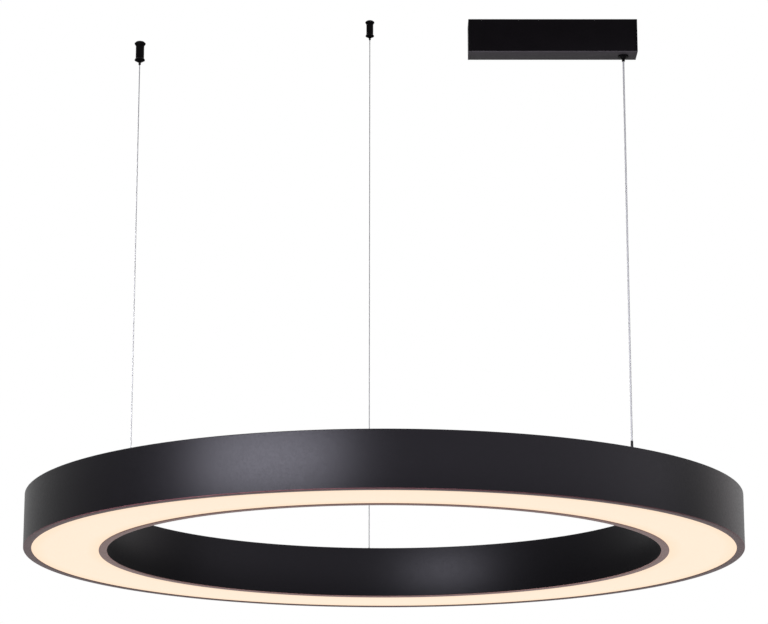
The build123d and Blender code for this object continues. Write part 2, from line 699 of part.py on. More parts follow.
def ceiling_bracket():
    """Folded steel strip against the ceiling, with an ear at each end for the end cap's screw."""
    inside = BRACKET_HALF - BRACKET_THICK
    outline = Polyline(
        (-BRACKET_HALF, 0),
        (BRACKET_HALF, 0),
        (BRACKET_HALF, -BRACKET_EAR),
        (inside, -BRACKET_EAR),
        (inside, -BRACKET_THICK),
        (-inside, -BRACKET_THICK),
        (-inside, -BRACKET_EAR),
        (-BRACKET_HALF, -BRACKET_EAR),
        close=True,
    )
    strip = extrude(Plane.XZ * make_face(outline), BRACKET_WIDTH / 2, both=True)
    strip = fillet(strip.edges().filter_by(Axis.Y).group_by(Axis.Z)[-1], BRACKET_THICK)
    slot = extrude(SlotOverall(SLOT_LENGTH, SLOT_WIDTH), -BRACKET_THICK)
    driver_hole = rod(DRIVER_SCREW_R + SCREW_SLIP, -BRACKET_THICK, 0)
    strip -= [Pos(side * SLOT_SPACING / 2, 0, 0) * slot for side in SIDES.values()]
    strip -= [place * driver_hole for place in driver_screw_places()]
    strip -= [facing(side) * cap_screw(SCREW_SLIP) for side in SIDES.values()]
    strip -= earth_screw_place() * rod(EARTH_SCREW_R + SCREW_SLIP, -BRACKET_THICK, 0)
    return strip - mains_entry_place() * rod(MAINS_ENTRY_R, -BRACKET_THICK, 0)


def led_driver():
    """Driver case under the bracket, with a screw tab at each end."""
    case = Box(DRIVER_LENGTH, DRIVER_WIDTH, DRIVER_HEIGHT, align=HUNG)
    case = fillet(case.edges().group_by(Axis.Z)[0] + case.edges().filter_by(Axis.Z), DRIVER_EDGE_ROUND)
    case += Box(DRIVER_LENGTH + 2 * DRIVER_TAB_LENGTH, DRIVER_TAB_WIDTH, DRIVER_TAB_THICK, align=HUNG)
    hole = rod(DRIVER_SCREW_R + SCREW_SLIP, -DRIVER_TAB_THICK, 0)
    return Pos(0, 0, -BRACKET_THICK) * (case - [place * hole for place in driver_screw_places()])


def driver_screws():
    """Screws up through the driver's tabs into the bracket."""
    length = DRIVER_TAB_THICK + BRACKET_THICK
    screw = pan_screw(DRIVER_SCREW_R, DRIVER_SCREW_HEAD_R, DRIVER_SCREW_HEAD_HEIGHT, length)
    return [place * Pos(0, 0, -length) * Rot(180, 0, 0) * screw for place in driver_screw_places()]


def mains_terminal():
    """Terminal block with a wire entry at both ends and a screw well for each pole."""
    block = Box(TERMINAL_LENGTH, TERMINAL_WIDTH, TERMINAL_HEIGHT, align=HUNG)
    well = rod(TERMINAL_WELL_R, -TERMINAL_HEIGHT, TERMINAL_WELL_DEPTH - TERMINAL_HEIGHT)
    entry = Rot(0, 90, 0) * rod(TERMINAL_ENTRY_R, -TERMINAL_ENTRY_DEPTH, 0)
    for i in range(TERMINAL_POLES):
        pole = Pos(0, (i - (TERMINAL_POLES - 1) / 2) * TERMINAL_PITCH, 0)
        block -= pole * well
        for side in SIDES.values():
            block -= pole * facing(side) * Pos(TERMINAL_LENGTH / 2, 0, -TERMINAL_HEIGHT / 2) * entry
    return Pos(TERMINAL_X, 0, -BRACKET_THICK) * block


def mains_leads():
    """Live and neutral leads from the terminal block's outer poles to the driver's end."""
    start = TERMINAL_X + TERMINAL_LENGTH / 2 - MAINS_LEAD_DEPTH
    lead = Rot(0, 90, 0) * rod(MAINS_LEAD_R, start, -DRIVER_LENGTH / 2)
    return [Pos(0, side * MAINS_POLE_Y, MAINS_LEAD_Z) * lead for side in SIDES.values()]


def output_leads():
    """Two cores from the driver's end to the top of the feed cable."""
    path = FilletPolyline(
        (DRIVER_LENGTH / 2, 0, OUTPUT_LEAD_Z),
        (FEED_X, 0, OUTPUT_LEAD_Z),
        (FEED_X, 0, CABLE_HIGH),
        radius=OUTPUT_LEAD_BEND_R,
    )
    lead = sweep(Plane(path @ 0, z_dir=path % 0) * Circle(CORE_R), path)
    return [Pos(0, side * CORE_PITCH / 2, 0) * lead for side in SIDES.values()]


def earth_screw():
    """Earth screw up through the bracket."""
    screw = pan_screw(EARTH_SCREW_R, EARTH_SCREW_HEAD_R, EARTH_SCREW_HEAD_HEIGHT, BRACKET_THICK)
    return earth_screw_place() * Pos(0, 0, -BRACKET_THICK) * Rot(180, 0, 0) * screw


def cable_grip_body():
    """Grip body with its flange under the canopy's floor and its threaded tube above it."""
    flange_r = GRIP_BODY_R + GRIP_FLANGE_REACH
    flange_top = GRIP_CONE_DROP + GRIP_FLANGE_THICK
    top = GRIP_SEAT_TOP + GRIP_BODY_PAST_SEAT
    return turned(
        *CABLE_GRIP.inner_outline(),
        (CABLE_GRIP.body_bore_r, top),
        (GRIP_BODY_R, top),
        (GRIP_BODY_R, flange_top),
        (flange_r, flange_top),
        (flange_r, GRIP_CONE_DROP),
        (CABLE_GRIP.pocket_r + GRIP_CONE_ROOT_WALL, GRIP_CONE_DROP),
        (CABLE_GRIP.nose_hole_r + GRIP_CONE_END_LAND, 0),
    )


def cable_grip_nut():
    """Nut that clamps the grip body to the canopy's floor from inside."""
    low = CANOPY_FLOOR + CANOPY_WALL
    return hex_nut(GRIP_NUT_ACROSS_FLATS, GRIP_BODY_R + SCREW_SLIP, low, low + GRIP_NUT_THICK)


# Write every piece

os.makedirs("parts", exist_ok=True)

write("outer_rim", rim(RING_OUTER_R, -1))
write("inner_rim", rim(RING_INNER_R, 1))
write("top_plate", top_plate())
write("diffuser", diffuser())
write("rim_screws", *rim_screws())
write("board_links", *board_links())
for number in range(BOARD_COUNT):
    write(f"led_board_{number + 1}", light_board(number))

for hanger in HANGER_ANGLES:
    write_hanger(hanger)

feed_place = on_ring(FEED_ANGLE)
write("feed_gland", feed_place * feed_gland())
write("feed_gland_nut", feed_place * feed_gland_nut())
write("feed_sleeve", feed_place * feed_sleeve())
write("feed_stop", feed_place * feed_stop())
write("feed_cable", feed_place * rod(CABLE_R, CABLE_LOW, CABLE_HIGH))
write("feed_connector", feed_place * feed_connector())
write("feed_leads", *[feed_place * lead for lead in feed_leads()])

write("canopy_channel", canopy_channel())
for side_name, side_sign in SIDES.items():
    write(f"end_cap_{side_name}", facing(side_sign) * end_cap())
write("canopy_screws", *[facing(side) * cap_screw() for side in SIDES.values()])
write("ceiling_bracket", ceiling_bracket())
write("led_driver", led_driver())
write("driver_screws", *driver_screws())
write("mains_terminal", mains_terminal())
write("mains_leads", *mains_leads())
write("output_leads", *output_leads())
write("earth_screw", earth_screw())
write("cable_grip_body", Pos(FEED_X, 0, CANOPY_GRIP_Z) * cable_grip_body())
write("cable_grip_nut", Pos(FEED_X, 0, 0) * cable_grip_nut())
write_grip("cable_grip", CABLE_GRIP, Pos(FEED_X, 0, CANOPY_GRIP_Z))
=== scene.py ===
import json
from math import cos, pi, radians, sin

import bmesh
import bpy
from mathutils import Matrix, Vector


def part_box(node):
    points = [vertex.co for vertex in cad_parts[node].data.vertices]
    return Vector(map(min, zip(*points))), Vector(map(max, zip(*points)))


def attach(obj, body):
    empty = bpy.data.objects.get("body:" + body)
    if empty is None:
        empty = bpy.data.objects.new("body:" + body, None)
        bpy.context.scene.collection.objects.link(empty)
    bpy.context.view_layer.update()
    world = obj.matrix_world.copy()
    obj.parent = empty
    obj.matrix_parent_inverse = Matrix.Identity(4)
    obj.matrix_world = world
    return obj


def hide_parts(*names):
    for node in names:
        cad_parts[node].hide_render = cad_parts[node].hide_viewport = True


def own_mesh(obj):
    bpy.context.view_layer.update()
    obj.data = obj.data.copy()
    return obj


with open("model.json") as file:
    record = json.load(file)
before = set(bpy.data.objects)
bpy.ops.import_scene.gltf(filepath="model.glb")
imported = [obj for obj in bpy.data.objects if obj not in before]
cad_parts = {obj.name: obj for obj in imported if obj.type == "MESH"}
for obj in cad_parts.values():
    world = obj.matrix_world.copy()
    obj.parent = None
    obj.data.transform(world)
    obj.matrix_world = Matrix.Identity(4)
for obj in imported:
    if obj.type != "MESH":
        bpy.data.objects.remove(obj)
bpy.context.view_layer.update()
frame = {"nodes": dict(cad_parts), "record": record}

bl_info = {
    "name": "Ring pendant light",
    "version": (1, 0, 0),
    "blender": (4, 5, 0),
    "location": "3D View > Sidebar > Pendant",
    "description": "Dresses the ring pendant light in its finishes and sets up a plain studio",
    "category": "Object",
}

MM = 0.001
UP = Vector((0.0, 0.0, 1.0))
MERGE_DISTANCE = 1e-7
SHARP_ANGLE = radians(32)
ROUND_STEPS = 4
ROPE_STRANDS = 6
SOCKET_SIDES = 6
SOCKET_TURN = 0.4  # radians
SENSOR_WIDTH = 36.0  # millimetres
NOISE_LOW, NOISE_HIGH = 0.3, 0.7  # levels between which most of a noise lies
WHITE = (1.0, 1.0, 1.0)

SLOT_OF = {part["node"]: part["material_slot"] for part in frame["record"]["subparts"]}
BODY_OF = {node: body for body, nodes in frame["record"]["behaviour"]["bodies"].items() for node in nodes}
SUSPENSIONS = ("left", "far")
PLUNGER_JOINTS = {
    "left_anchor": "left_plunger_press",
    "far_anchor": "far_plunger_press",
    "cable_grip": "canopy_plunger_press",
}


# Properties

def length(name, description, millimetres):
    """Length that is written in millimetres and kept in metres."""
    return bpy.props.FloatProperty(
        name=name, description=description, default=millimetres * MM, unit="LENGTH", precision=5
    )


def colour(name, description, *rgb):
    """Colour of a finish, as linear red, green and blue."""
    return bpy.props.FloatVectorProperty(
        name=name, description=description, default=rgb, subtype="COLOR", min=0.0, max=1.0
    )


def share(name, description, default):
    """Number from 0 to 1."""
    return bpy.props.FloatProperty(
        name=name, description=description, default=default, subtype="FACTOR", min=0.0, max=1.0
    )


def power(name, description, watts):
    """Power of a lamp."""
    return bpy.props.FloatProperty(name=name, description=description, default=watts, subtype="POWER")


def angle(name, description, degrees):
    """Angle that is written in degrees and kept in radians."""
    return bpy.props.FloatProperty(
        name=name, description=description, default=radians(degrees), subtype="ANGLE"
    )


def count(name, description, default):
    """Whole number of copies or steps."""
    return bpy.props.IntProperty(name=name, description=description, default=default, min=1)


class RingSizes(bpy.types.PropertyGroup):
    """Sizes of the ring's housing and its screws."""

    turn_steps: count("Turn steps", "Steps that a rim takes round its full circle", 480)
    wall: length("Wall", "Thickness of a rim's upright wall", 2.0)
    lip_width: length("Lip width", "How far a lip reaches under the diffuser from the wall's face", 9.0)
    lip_thick: length("Lip thickness", "Thickness of the lips that frame the diffuser", 0.8)
    ledge_width: length("Ledge width", "How far a ledge reaches under the top plate", 10.0)
    ledge_thick: length("Ledge thickness", "Thickness of the ledges", 2.0)
    plate_thick: length("Plate thickness", "Thickness of the top plate", 2.0)
    edge_round: length("Edge round", "Radius of the rims' outer edges", 0.9)
    lip_round: length("Lip round", "Radius of the edges that face the diffuser", 0.25)
    diffuser_gap: length("Diffuser gap", "Play between the diffuser and the walls", 0.8)
    diffuser_round: length("Diffuser round", "Radius of the diffuser's edges", 0.5)
    screw_count: count("Screws in a row", "Screws that hold the top plate to one rim", 8)
    screw_steps: count("Screw steps", "Steps that a rim screw takes round its full circle", 40)
    screw_shank: length("Screw shank", "Radius of a rim screw's shank", 1.5)
    screw_head: length("Screw head", "Radius of a rim screw's head", 2.8)
    screw_head_height: length("Screw head height", "Height of a rim screw's countersunk head", 1.5)
    screw_soft: length("Screw edge", "Rounding of the screw head's rim", 0.12)
    cross_width: length("Cross width", "Width of the cross recess in a screw's head", 0.7)
    cross_reach: length("Cross reach", "Length of the cross recess from its middle", 1.45)
    cross_depth: length("Cross depth", "Depth of the cross recess", 1.2)
    cross_taper: share("Cross taper", "Size of the recess at its foot as a share of its mouth", 0.45)


class LineSizes(bpy.types.PropertyGroup):
    """Sizes of the steel wires, the feed cable and the springs in the grips."""

    wire_radius: length("Wire radius", "Radius of a stranded suspension wire", 0.6)
    wire_lay: length("Wire lay", "Length in which a strand goes once round its wire", 6.0)
    wire_pitch: length("Wire steps", "Distance between points along a strand", 0.45)
    strand_sides: count("Strand sides", "Sides of a strand's round section", 8)
    cable_radius: length("Cable radius", "Radius of the feed cable's jacket", 1.0)
    cable_pitch: length("Cable steps", "Distance between rings along the feed cable", 2.0)
    cable_sides: count("Cable sides", "Sides of the feed cable's round section", 24)
    braid_lay: length("Braid lay", "Length in which a wire of the cable's braid goes once round", 5.0)
    braid_wires: count("Braid wires", "Wires of the braid that wind the same way", 4)
    spring_wire: length("Spring wire", "Radius of the wire of a grip's spring", 0.18)
    spring_turns: count("Spring turns", "Turns of a grip's spring", 4)
    spring_steps: count("Spring steps", "Steps that a spring takes in one turn", 28)
    spring_sides: count("Spring sides", "Sides of the spring wire's round section", 10)


class FittingSizes(bpy.types.PropertyGroup):
    """Sizes of the turned fittings: anchors, cable grip, hanger bosses, gland and sleeve."""

    turn_steps: count("Turn steps", "Steps that a fitting takes round its full circle", 72)
    edge_round: length("Edge round", "Radius of the fittings' edges", 0.18)
    wire_bore: length("Wire bore", "Radius of the holes that a wire passes through", 0.8)
    cable_bore: length("Cable bore", "Radius of the holes that the feed cable passes through", 1.2)
    screw_bore: length("Screw bore", "Radius of the ceiling screw's hole in an anchor", 1.8)
    screw_recess: length("Screw recess", "Radius of the room for the ceiling screw's head", 2.9)
    screw_recess_depth: length("Recess depth", "Depth of the room for the ceiling screw's head", 3.5)
    flange_thick: length("Flange thickness", "Thickness of an anchor's flange at its edge", 2.2)
    flange_chamfer: length("Flange chamfer", "Chamfer of the flange's ceiling edge", 1.6)
    neck_drop: length("Neck drop", "Height of the cone between the flange and the barrel", 2.6)
    thread: length("Thread", "Radius of the thread that joins an anchor's base and barrel", 3.6)
    thread_gap: length("Thread gap", "Play in the thread", 0.05)
    barrel: length("Barrel", "Radius of an anchor's barrel", 4.5)
    barrel_thread_low: length("Thread foot", "Height of the barrel's thread above its lower end", 11.3)
    collar_low: length("Collar foot", "Height of the collar above the barrel's lower end", 1.9)
    collar_high: length("Collar top", "Height of the collar's upper edge", 2.9)
    collar_flare: length("Collar flare", "Height of the cone above the collar", 1.4)
    end_land: length("End land", "Width of the flat ring round the nose's hole", 0.94)
    nose_slip: length("Nose slip", "Play between a grip's nose and its hole", 0.06)
    nose_wall: length("Nose wall", "Wall of a grip's nose", 0.5)
    end_wall: length("End wall", "Thickness of a grip's lower end", 1.2)
    pocket_wall: length("Pocket room", "Width of a grip's ball pocket past the bore", 1.15)
    taper_low: length("Taper foot", "Height of a grip's taper above its lower end", 3.2)
    taper_high: length("Taper top", "Height of the taper's upper end", 7.3)
    taper_spread: length("Taper spread", "How much wider the taper is at its top", 1.0986)
    grip_tube_wall: length("Grip tube wall", "Wall of the cable grip's threaded tube", 0.95)
    grip_flange_thick: length("Grip flange", "Thickness of the cable grip's flange", 1.6)
    grip_cone_drop: length("Grip cone", "Height of the cone under the cable grip's flange", 1.8)
    grip_cone_root: length("Grip cone root", "Wall of that cone at its root", 1.05)
    boss_stem: length("Boss stem", "Radius of a hanger boss's threaded stem", 3.0)
    boss_chamfer: length("Boss chamfer", "Chamfer of the upper edge of a boss and of the gland", 1.0)
    gland_stem: length("Gland stem", "Radius of the gland's threaded stem", 4.0)
    sleeve_gap: length("Sleeve gap", "Play between the sleeve and what it touches", 0.05)
    sleeve_tip: length("Sleeve tip", "Radius of the sleeve at its upper end", 1.35)


class CanopySizes(bpy.types.PropertyGroup):
    """Sizes of the canopy."""

    turn_steps: count("Turn steps", "Steps that a screw or a hole takes round its full circle", 48)
    wall: length("Wall", "Thickness of the channel's walls", 1.5)
    grip_hole: length("Grip hole", "Radius of the hole for the cable grip", 4.5)
    edge_round: length("Edge round", "Radius of the channel's long lower edges", 0.7)
    joint_round: length("Joint round", "Radius of the edges where an end cap meets the channel", 0.22)
    cap_gap: length("Cap gap", "Play of an end cap's spigot in the channel", 0.1)
    spigot: length("Spigot", "How far an end cap's spigot reaches into the channel", 2.0)
    screw_head: length("Screw head", "Radius of a cap screw's countersunk head", 3.6)
    screw_head_height: length("Screw head height", "Height of a cap screw's head", 2.0)
    screw_shank: length("Screw shank", "Radius of a cap screw's shank", 2.0)
    screw_reach: length("Screw length", "Length of a cap screw", 8.5)
    screw_hole: length("Screw hole", "Depth to which a cap screw's hole is cut", 2.9)
    screw_gap: length("Screw gap", "Play of a cap screw in its hole", 0.1)
    screw_sink: length("Screw sink", "How far a cap screw's head lies below the cap's face", 0.15)
    socket: length("Socket", "Radius of the hexagon socket in a cap screw's head", 1.45)
    socket_depth: length("Socket depth", "Depth of the hexagon socket", 1.3)


class Finishes(bpy.types.PropertyGroup):
    """Colours and sheen of the finishes, with the painted light on the undersides of the ring and the canopy,
    and the heights at which some of them change.
    """

    ring_coat: colour("Ring coat", "Satin black coat of the ring", 0.0005, 0.0004, 0.0006)
    ring_gloss: share("Ring gloss", "Specular level of the ring's coat", 0.055)
    # Painted light: the lips' undersides are painted paler and warmer than the black coat, for light from
    # below and the diffuser's glow
    inner_lip: colour("Inner lip", "Coat of the inner lip's underside", 0.168, 0.096, 0.088)
    outer_lip: colour("Outer lip", "Coat of the outer lip's underside", 0.047, 0.018, 0.021)
    canopy_coat: colour("Canopy coat", "Satin black coat of the canopy", 0.0011, 0.0009, 0.0011)
    canopy_gloss: share("Canopy gloss", "Specular level of the canopy's coat", 0.01375)
    # Painted light: the canopy's underside is painted paler, most at the front, for light from below
    foot_front: colour("Canopy foot, front", "Canopy's underside at the front", 0.027, 0.0243, 0.027)
    foot_back: colour("Canopy foot, back", "Canopy's underside at the back", 0.0108, 0.00972, 0.0108)
    # Heights between which the painted light on a coat's underside fades out
    foot_full: length("Foot, full", "Height to which the colour of a coat's underside is full", 0.5)
    foot_gone: length("Foot, gone", "Height at which the colour of a coat's underside has gone", 0.9)
    fitting_coat: colour("Fitting coat", "Black coat of the turned fittings", 0.001, 0.0009, 0.001)
    fitting_gloss: share("Fitting gloss", "Specular level of the fittings' coat", 0.011)
    gloss_tint: colour("Gloss tint", "Cool cast of the sheen of the ring and the canopy", 0.93, 0.9, 1.0)
    screw_black: colour("Screw, black", "Black oxide of the screws", 0.02, 0.02, 0.022)
    screw_worn: colour("Screw, worn", "Worn patches of the screws", 0.09, 0.088, 0.085)
    opal: colour("Opal", "Sheet of the diffuser without its light", 0.06, 0.055, 0.05)
    glow_middle: colour("Glow, middle", "Light of the diffuser along its middle", 0.95, 0.756, 0.59)
    glow_edge: colour("Glow, edges", "Light of the diffuser beside the lips", 0.95, 0.716, 0.52)
    phosphor: colour("Phosphor", "Underside of the chips", 0.86, 0.62, 0.16)
    phosphor_edge: colour("Phosphor edge", "Sides of the chips", 0.9, 0.7, 0.25)
    mask: colour("Mask", "White solder mask of the boards", 0.86, 0.86, 0.83)
    mask_back: colour("Mask, back", "Back of the boards", 0.9, 0.9, 0.88)
    board_rise: length("Board rise", "Height over which a board goes from phosphor to its back", 1.0)
    wire: colour("Wire", "Bare steel of the wires", 0.13, 0.13, 0.132)
    cable: colour("Cable", "Grey jacket of the feed cable", 0.13, 0.13, 0.133)
    sleeve: colour("Sleeve", "Black rubber of the sleeve", 0.002, 0.002, 0.002)
    sleeve_bloom: colour("Sleeve bloom", "Dusty bloom on the rubber", 0.005, 0.005, 0.005)
    zinc: colour("Zinc", "Dull zinc plate of the bracket and the nuts", 0.3, 0.305, 0.31)
    ferrule: colour("Ferrule", "Bare aluminium of the crimped stops", 0.74, 0.74, 0.75)
    brass: colour("Brass", "Bare brass of the earth screw", 0.74, 0.55, 0.25)
    bright_steel: colour("Bright steel", "Balls, seats and springs of the grips", 0.72, 0.72, 0.74)
    connector: colour("Connector", "Natural nylon of the connectors", 0.8, 0.78, 0.7)
    driver_case: colour("Driver case", "White case of the driver", 0.8, 0.8, 0.78)
    lead: colour("Lead", "Brown insulation of the leads", 0.2, 0.07, 0.035)


class StudioSettings(bpy.types.PropertyGroup):
    """Camera, lamps and floor."""

    camera_place: bpy.props.FloatVectorProperty(
        name="Camera place", description="Where the camera stands",
        default=(-0.1814, -2.8471, -1.0502), subtype="TRANSLATION",
    )
    camera_pitch: angle("Camera pitch", "How far the camera looks up", 14.352)
    camera_lens: bpy.props.FloatProperty(
        name="Camera lens", description="Focal length on a 36 mm sensor", default=131.0, unit="CAMERA"
    )
    floor_level: length("Floor level", "Height of the floor below the ceiling", -2250.0)
    floor_colour: colour("Floor colour", "Pale floor", 0.82, 0.82, 0.82)
    floor_sides: count("Floor sides", "Sides of the round floor", 96)
    floor_plain: length("Plain floor", "Distance from the axis at which the floor begins to fade", 1200.0)
    floor_radius: length("Floor radius", "Distance from the axis at which the floor has faded out", 3600.0)
    ambient: share("Ambient", "Level of the even light from all round", 0.3)
    key_power: power("Key power", "Power of the small softbox near the ring's front left", 13.1)
    key_grid: angle("Key grid", "Angle over which light leaves the key's grid", 94.0)
    key_turn: angle("Key turn", "How far the key is turned from the ring's axis towards its near wall", -5.4)
    top_power: power("Top power", "Power of the wide softbox overhead, which also lights the floor", 310.0)
    side_power: power("Side power", "Power of the large faint softbox near the ring's front right", 45.0)
    back_power: power("Back power", "Power of the weak softbox behind and to the right", 6.0)


# Each softbox's way from the ring, its distance, its width and height, and its tint; lengths in metres
LAMPS = {
    "key": ((-0.4633, -0.8678, 0.18), 1.0, (0.62, 0.36), (0.93, 0.94, 1.0)),
    "top": ((0.0, 0.0, 1.0), 3.0, (6.0, 6.0), WHITE),
    "back": ((0.75, 0.6, 0.28), 3.0, (1.6, 1.6), (1.0, 0.9, 0.93)),
    "side": ((0.73, -0.64, 0.22), 1.6, (2.9, 1.0), (0.95, 0.92, 1.0)),
}


# Places in the frame

def middle(node):
    """Upright axis through the middle of a CAD node, as x and y."""
    low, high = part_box(node)
    return (low.x + high.x) / 2, (low.y + high.y) / 2


def half_width(node):
    """Half of a CAD node's size along X, which is the radius of a round one."""
    low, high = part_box(node)
    return (high.x - low.x) / 2


def wall_radii(sizes):
    """Radii of the faces of the ring's outer and inner walls."""
    return half_width("outer_rim"), half_width("inner_rim") - sizes.ledge_width


RING_AXIS = middle("outer_rim")
RING_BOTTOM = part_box("outer_rim")[0].z
RING_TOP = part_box("outer_rim")[1].z


# Meshes

def soften(bm, items, size, affect="EDGES"):
    """Round some edges or corners of a mesh."""
    bmesh.ops.bevel(
        bm, geom=items, offset=size, offset_type="OFFSET", segments=ROUND_STEPS, profile=0.5,
        affect=affect, material=-1, clamp_overlap=True,
    )


def add_face(bm, places, rounds):
    """Add a face through some places, with a round for each corner; 0 leaves a corner sharp."""
    corners = [bm.verts.new(place) for place in places]
    bm.faces.new(corners)
    for size in sorted(set(rounds) - {0}):
        soften(bm, [corner for corner, own in zip(corners, rounds) if own == size], size, "VERTICES")


def turned(outline, axis, steps):
    """Turn a closed outline of (radius, height, corner round) points about an upright axis."""
    bm = bmesh.new()
    places = [(axis[0] + radius, axis[1], height) for radius, height, _ in outline]
    add_face(bm, places, [point[2] for point in outline])
    bmesh.ops.delete(bm, geom=bm.faces[:], context="FACES_ONLY")
    on_axis = [edge for edge in bm.edges if all(abs(v.co.x - axis[0]) < MERGE_DISTANCE for v in edge.verts)]
    bmesh.ops.delete(bm, geom=on_axis, context="EDGES")
    bmesh.ops.spin(
        bm, geom=bm.verts[:] + bm.edges[:], cent=(*axis, 0.0), axis=UP, angle=2 * pi, steps=steps,
        use_merge=True,
    )
    return bm


def prism(outline, thickness):
    """Extrude a closed outline of (x, y, corner round) points along Z."""
    bm = bmesh.new()
    add_face(bm, [(x, y, 0.0) for x, y, _ in outline], [point[2] for point in outline])
    raised = bmesh.ops.extrude_face_region(bm, geom=bm.faces[:])["geom"]
    top = [item for item in raised if isinstance(item, bmesh.types.BMVert)]
    bmesh.ops.translate(bm, vec=(0.0, 0.0, thickness), verts=top)
    return bm


def to_mesh(name, bm):
    """Close a bmesh's seams, turn its faces outwards and make it a mesh."""
    bmesh.ops.remove_doubles(bm, verts=bm.verts[:], dist=MERGE_DISTANCE)
    bmesh.ops.recalc_face_normals(bm, faces=bm.faces[:])
    mesh = bpy.data.meshes.new(name)
    bm.to_mesh(mesh)
    bm.free()
    return mesh


def cut(mesh, cutter):
    """Cut one closed mesh out of another and return what is left."""
    block = bpy.data.objects.new("block", mesh)
    tool = bpy.data.objects.new("tool", cutter)
    for holder in (block, tool):
        bpy.context.scene.collection.objects.link(holder)
    knife = block.modifiers.new("cut", "BOOLEAN")
    knife.operation = "DIFFERENCE"
    knife.solver = "EXACT"
    knife.object = tool
    left = bpy.data.meshes.new_from_object(block.evaluated_get(bpy.context.evaluated_depsgraph_get()))
    if not left.polygons:
        raise RuntimeError(f"nothing is left of {mesh.name}")
    for holder in (block, tool):
        bpy.data.objects.remove(holder)
    return left


def repeated(mesh, places):
    """Copies of a mesh at the given places, as one bmesh."""
    bm = bmesh.new()
    for place in places:
        first = len(bm.verts)
        bm.from_mesh(mesh)
        bm.verts.ensure_lookup_table()
        bmesh.ops.transform(bm, matrix=place, verts=bm.verts[first:])
    return bm


def joined(*meshes):
    """Several meshes as one bmesh."""
    bm = bmesh.new()
    for mesh in meshes:
        bm.from_mesh(mesh)
    return bm


def add_piece(mesh, node):
    """Show a mesh in place of a CAD node, on its body and in the finish of its slot."""
    for polygon in mesh.polygons:
        polygon.use_smooth = True
    mesh.set_sharp_from_angle(angle=SHARP_ANGLE)
    mesh.materials.clear()
    mesh.materials.append(finish_of(node))
    piece = bpy.data.objects.new(f"{node}_look", mesh)
    bpy.context.scene.collection.objects.link(piece)
    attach(piece, BODY_OF[node])
    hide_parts(node)
    return piece


def add_turned(node, outline, steps):
    """Show a turned piece in place of a CAD node, about the node's own axis."""
    add_piece(to_mesh(node, turned(outline, middle(node), steps)), node)


def grip_bore(sizes, wire_bore, low):
    """Nose hole's radius, bore's radius and inner outline of a ball grip above its lower end."""
    nose_hole = wire_bore + sizes.nose_wall + sizes.nose_slip
    pocket = wire_bore + sizes.pocket_wall
    bore = pocket + sizes.taper_spread
    outline = [
        (nose_hole, low, 0),
        (nose_hole, low + sizes.end_wall, 0),
        (pocket, low + sizes.end_wall, 0),
        (pocket, low + sizes.taper_low, 0),
        (bore, low + sizes.taper_high, 0),
    ]
    return nose_hole, bore, outline


# Lines

def add_spline(curve, kind, places):
    """Add a spline with a point at each place."""
    spline = curve.splines.new(kind)
    spline.points.add(len(places) - 1)
    for point, place in zip(spline.points, places):
        point.co = (*place, 1.0)
    return spline


def curve_mesh(curve):
    """Turn a curve into a mesh."""
    mesh = bpy.data.meshes.new_from_object(bpy.data.objects.new(curve.name, curve))
    bpy.data.curves.remove(curve)
    return mesh


def route_points(ends, steps):
    """Points along a smooth line, read from a NURBS spline that has the route's points as controls."""
    curve = bpy.data.curves.new("route", "CURVE")
    curve.dimensions = "3D"
    spline = add_spline(curve, "NURBS", ends)
    spline.order_u = 3
    spline.use_endpoint_u = True
    spline.resolution_u = round(steps / (len(ends) - 1))
    mesh = curve_mesh(curve)
    line = [vertex.co.copy() for vertex in mesh.vertices]
    bpy.data.meshes.remove(mesh)
    return line


def swept(name, lines, radius, sides):
    """Round tubes along several lines of points, as one mesh with closed ends."""
    curve = bpy.data.curves.new(name, "CURVE")
    curve.dimensions = "3D"
    curve.bevel_depth = radius
    curve.bevel_resolution = sides // 2 - 2
    curve.use_fill_caps = True
    for line in lines:
        add_spline(curve, "POLY", line)
    return curve_mesh(curve)


def strands(line, radius, lay):
    """Lines of a rope's core and of the strands round it, along an upright line, and their radius."""
    strand_radius = radius / 3
    winding = []
    for index in range(ROPE_STRANDS):
        strand = []
        for place in line:
            turn = 2 * pi * ((place - line[0]).length / lay + index / ROPE_STRANDS)
            strand.append(place + 2 * strand_radius * Vector((cos(turn), sin(turn), 0.0)))
        winding.append(strand)
    return [line, *winding], strand_radius


def upright_route(node):
    """Route of a taut line: its two ends from the part, with one point halfway."""
    low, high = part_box(node)
    x, y = middle(node)
    return [Vector((x, y, low.z)), Vector((x, y, (low.z + high.z) / 2)), Vector((x, y, high.z))]


# Finishes

class Nodes:
    """Node tree of a material or a world, built up one node at a time."""

    def __init__(self, owner):
        owner.use_nodes = True
        self.tree = owner.node_tree

    def join(self, source, target):
        """Link an output to an input, or set the input where the source is a plain value."""
        if isinstance(source, bpy.types.NodeSocket):
            self.tree.links.new(source, target)
        else:
            target.default_value = source

    def add(self, kind, inputs=None, **settings):
        """New node with some of its settings and inputs."""
        node = self.tree.nodes.new(kind)
        for name, value in settings.items():
            setattr(node, name, value)
        for name, source in (inputs or {}).items():
            self.join(source, node.inputs[name])
        return node

    def math(self, operation, first, second=0.0):
        """Result of a sum on two levels."""
        return self.add("ShaderNodeMath", {0: first, 1: second}, operation=operation).outputs[0]

    def mix(self, level, first, second):
        """Show the first shader where a level is 0 and the second where it is 1."""
        node = self.add("ShaderNodeMixShader", {"Fac": level, 1: first.outputs[0], 2: second.outputs[0]})
        end = next(other for other in self.tree.nodes if "Surface" in other.inputs)
        self.join(node.outputs["Shader"], end.inputs["Surface"])


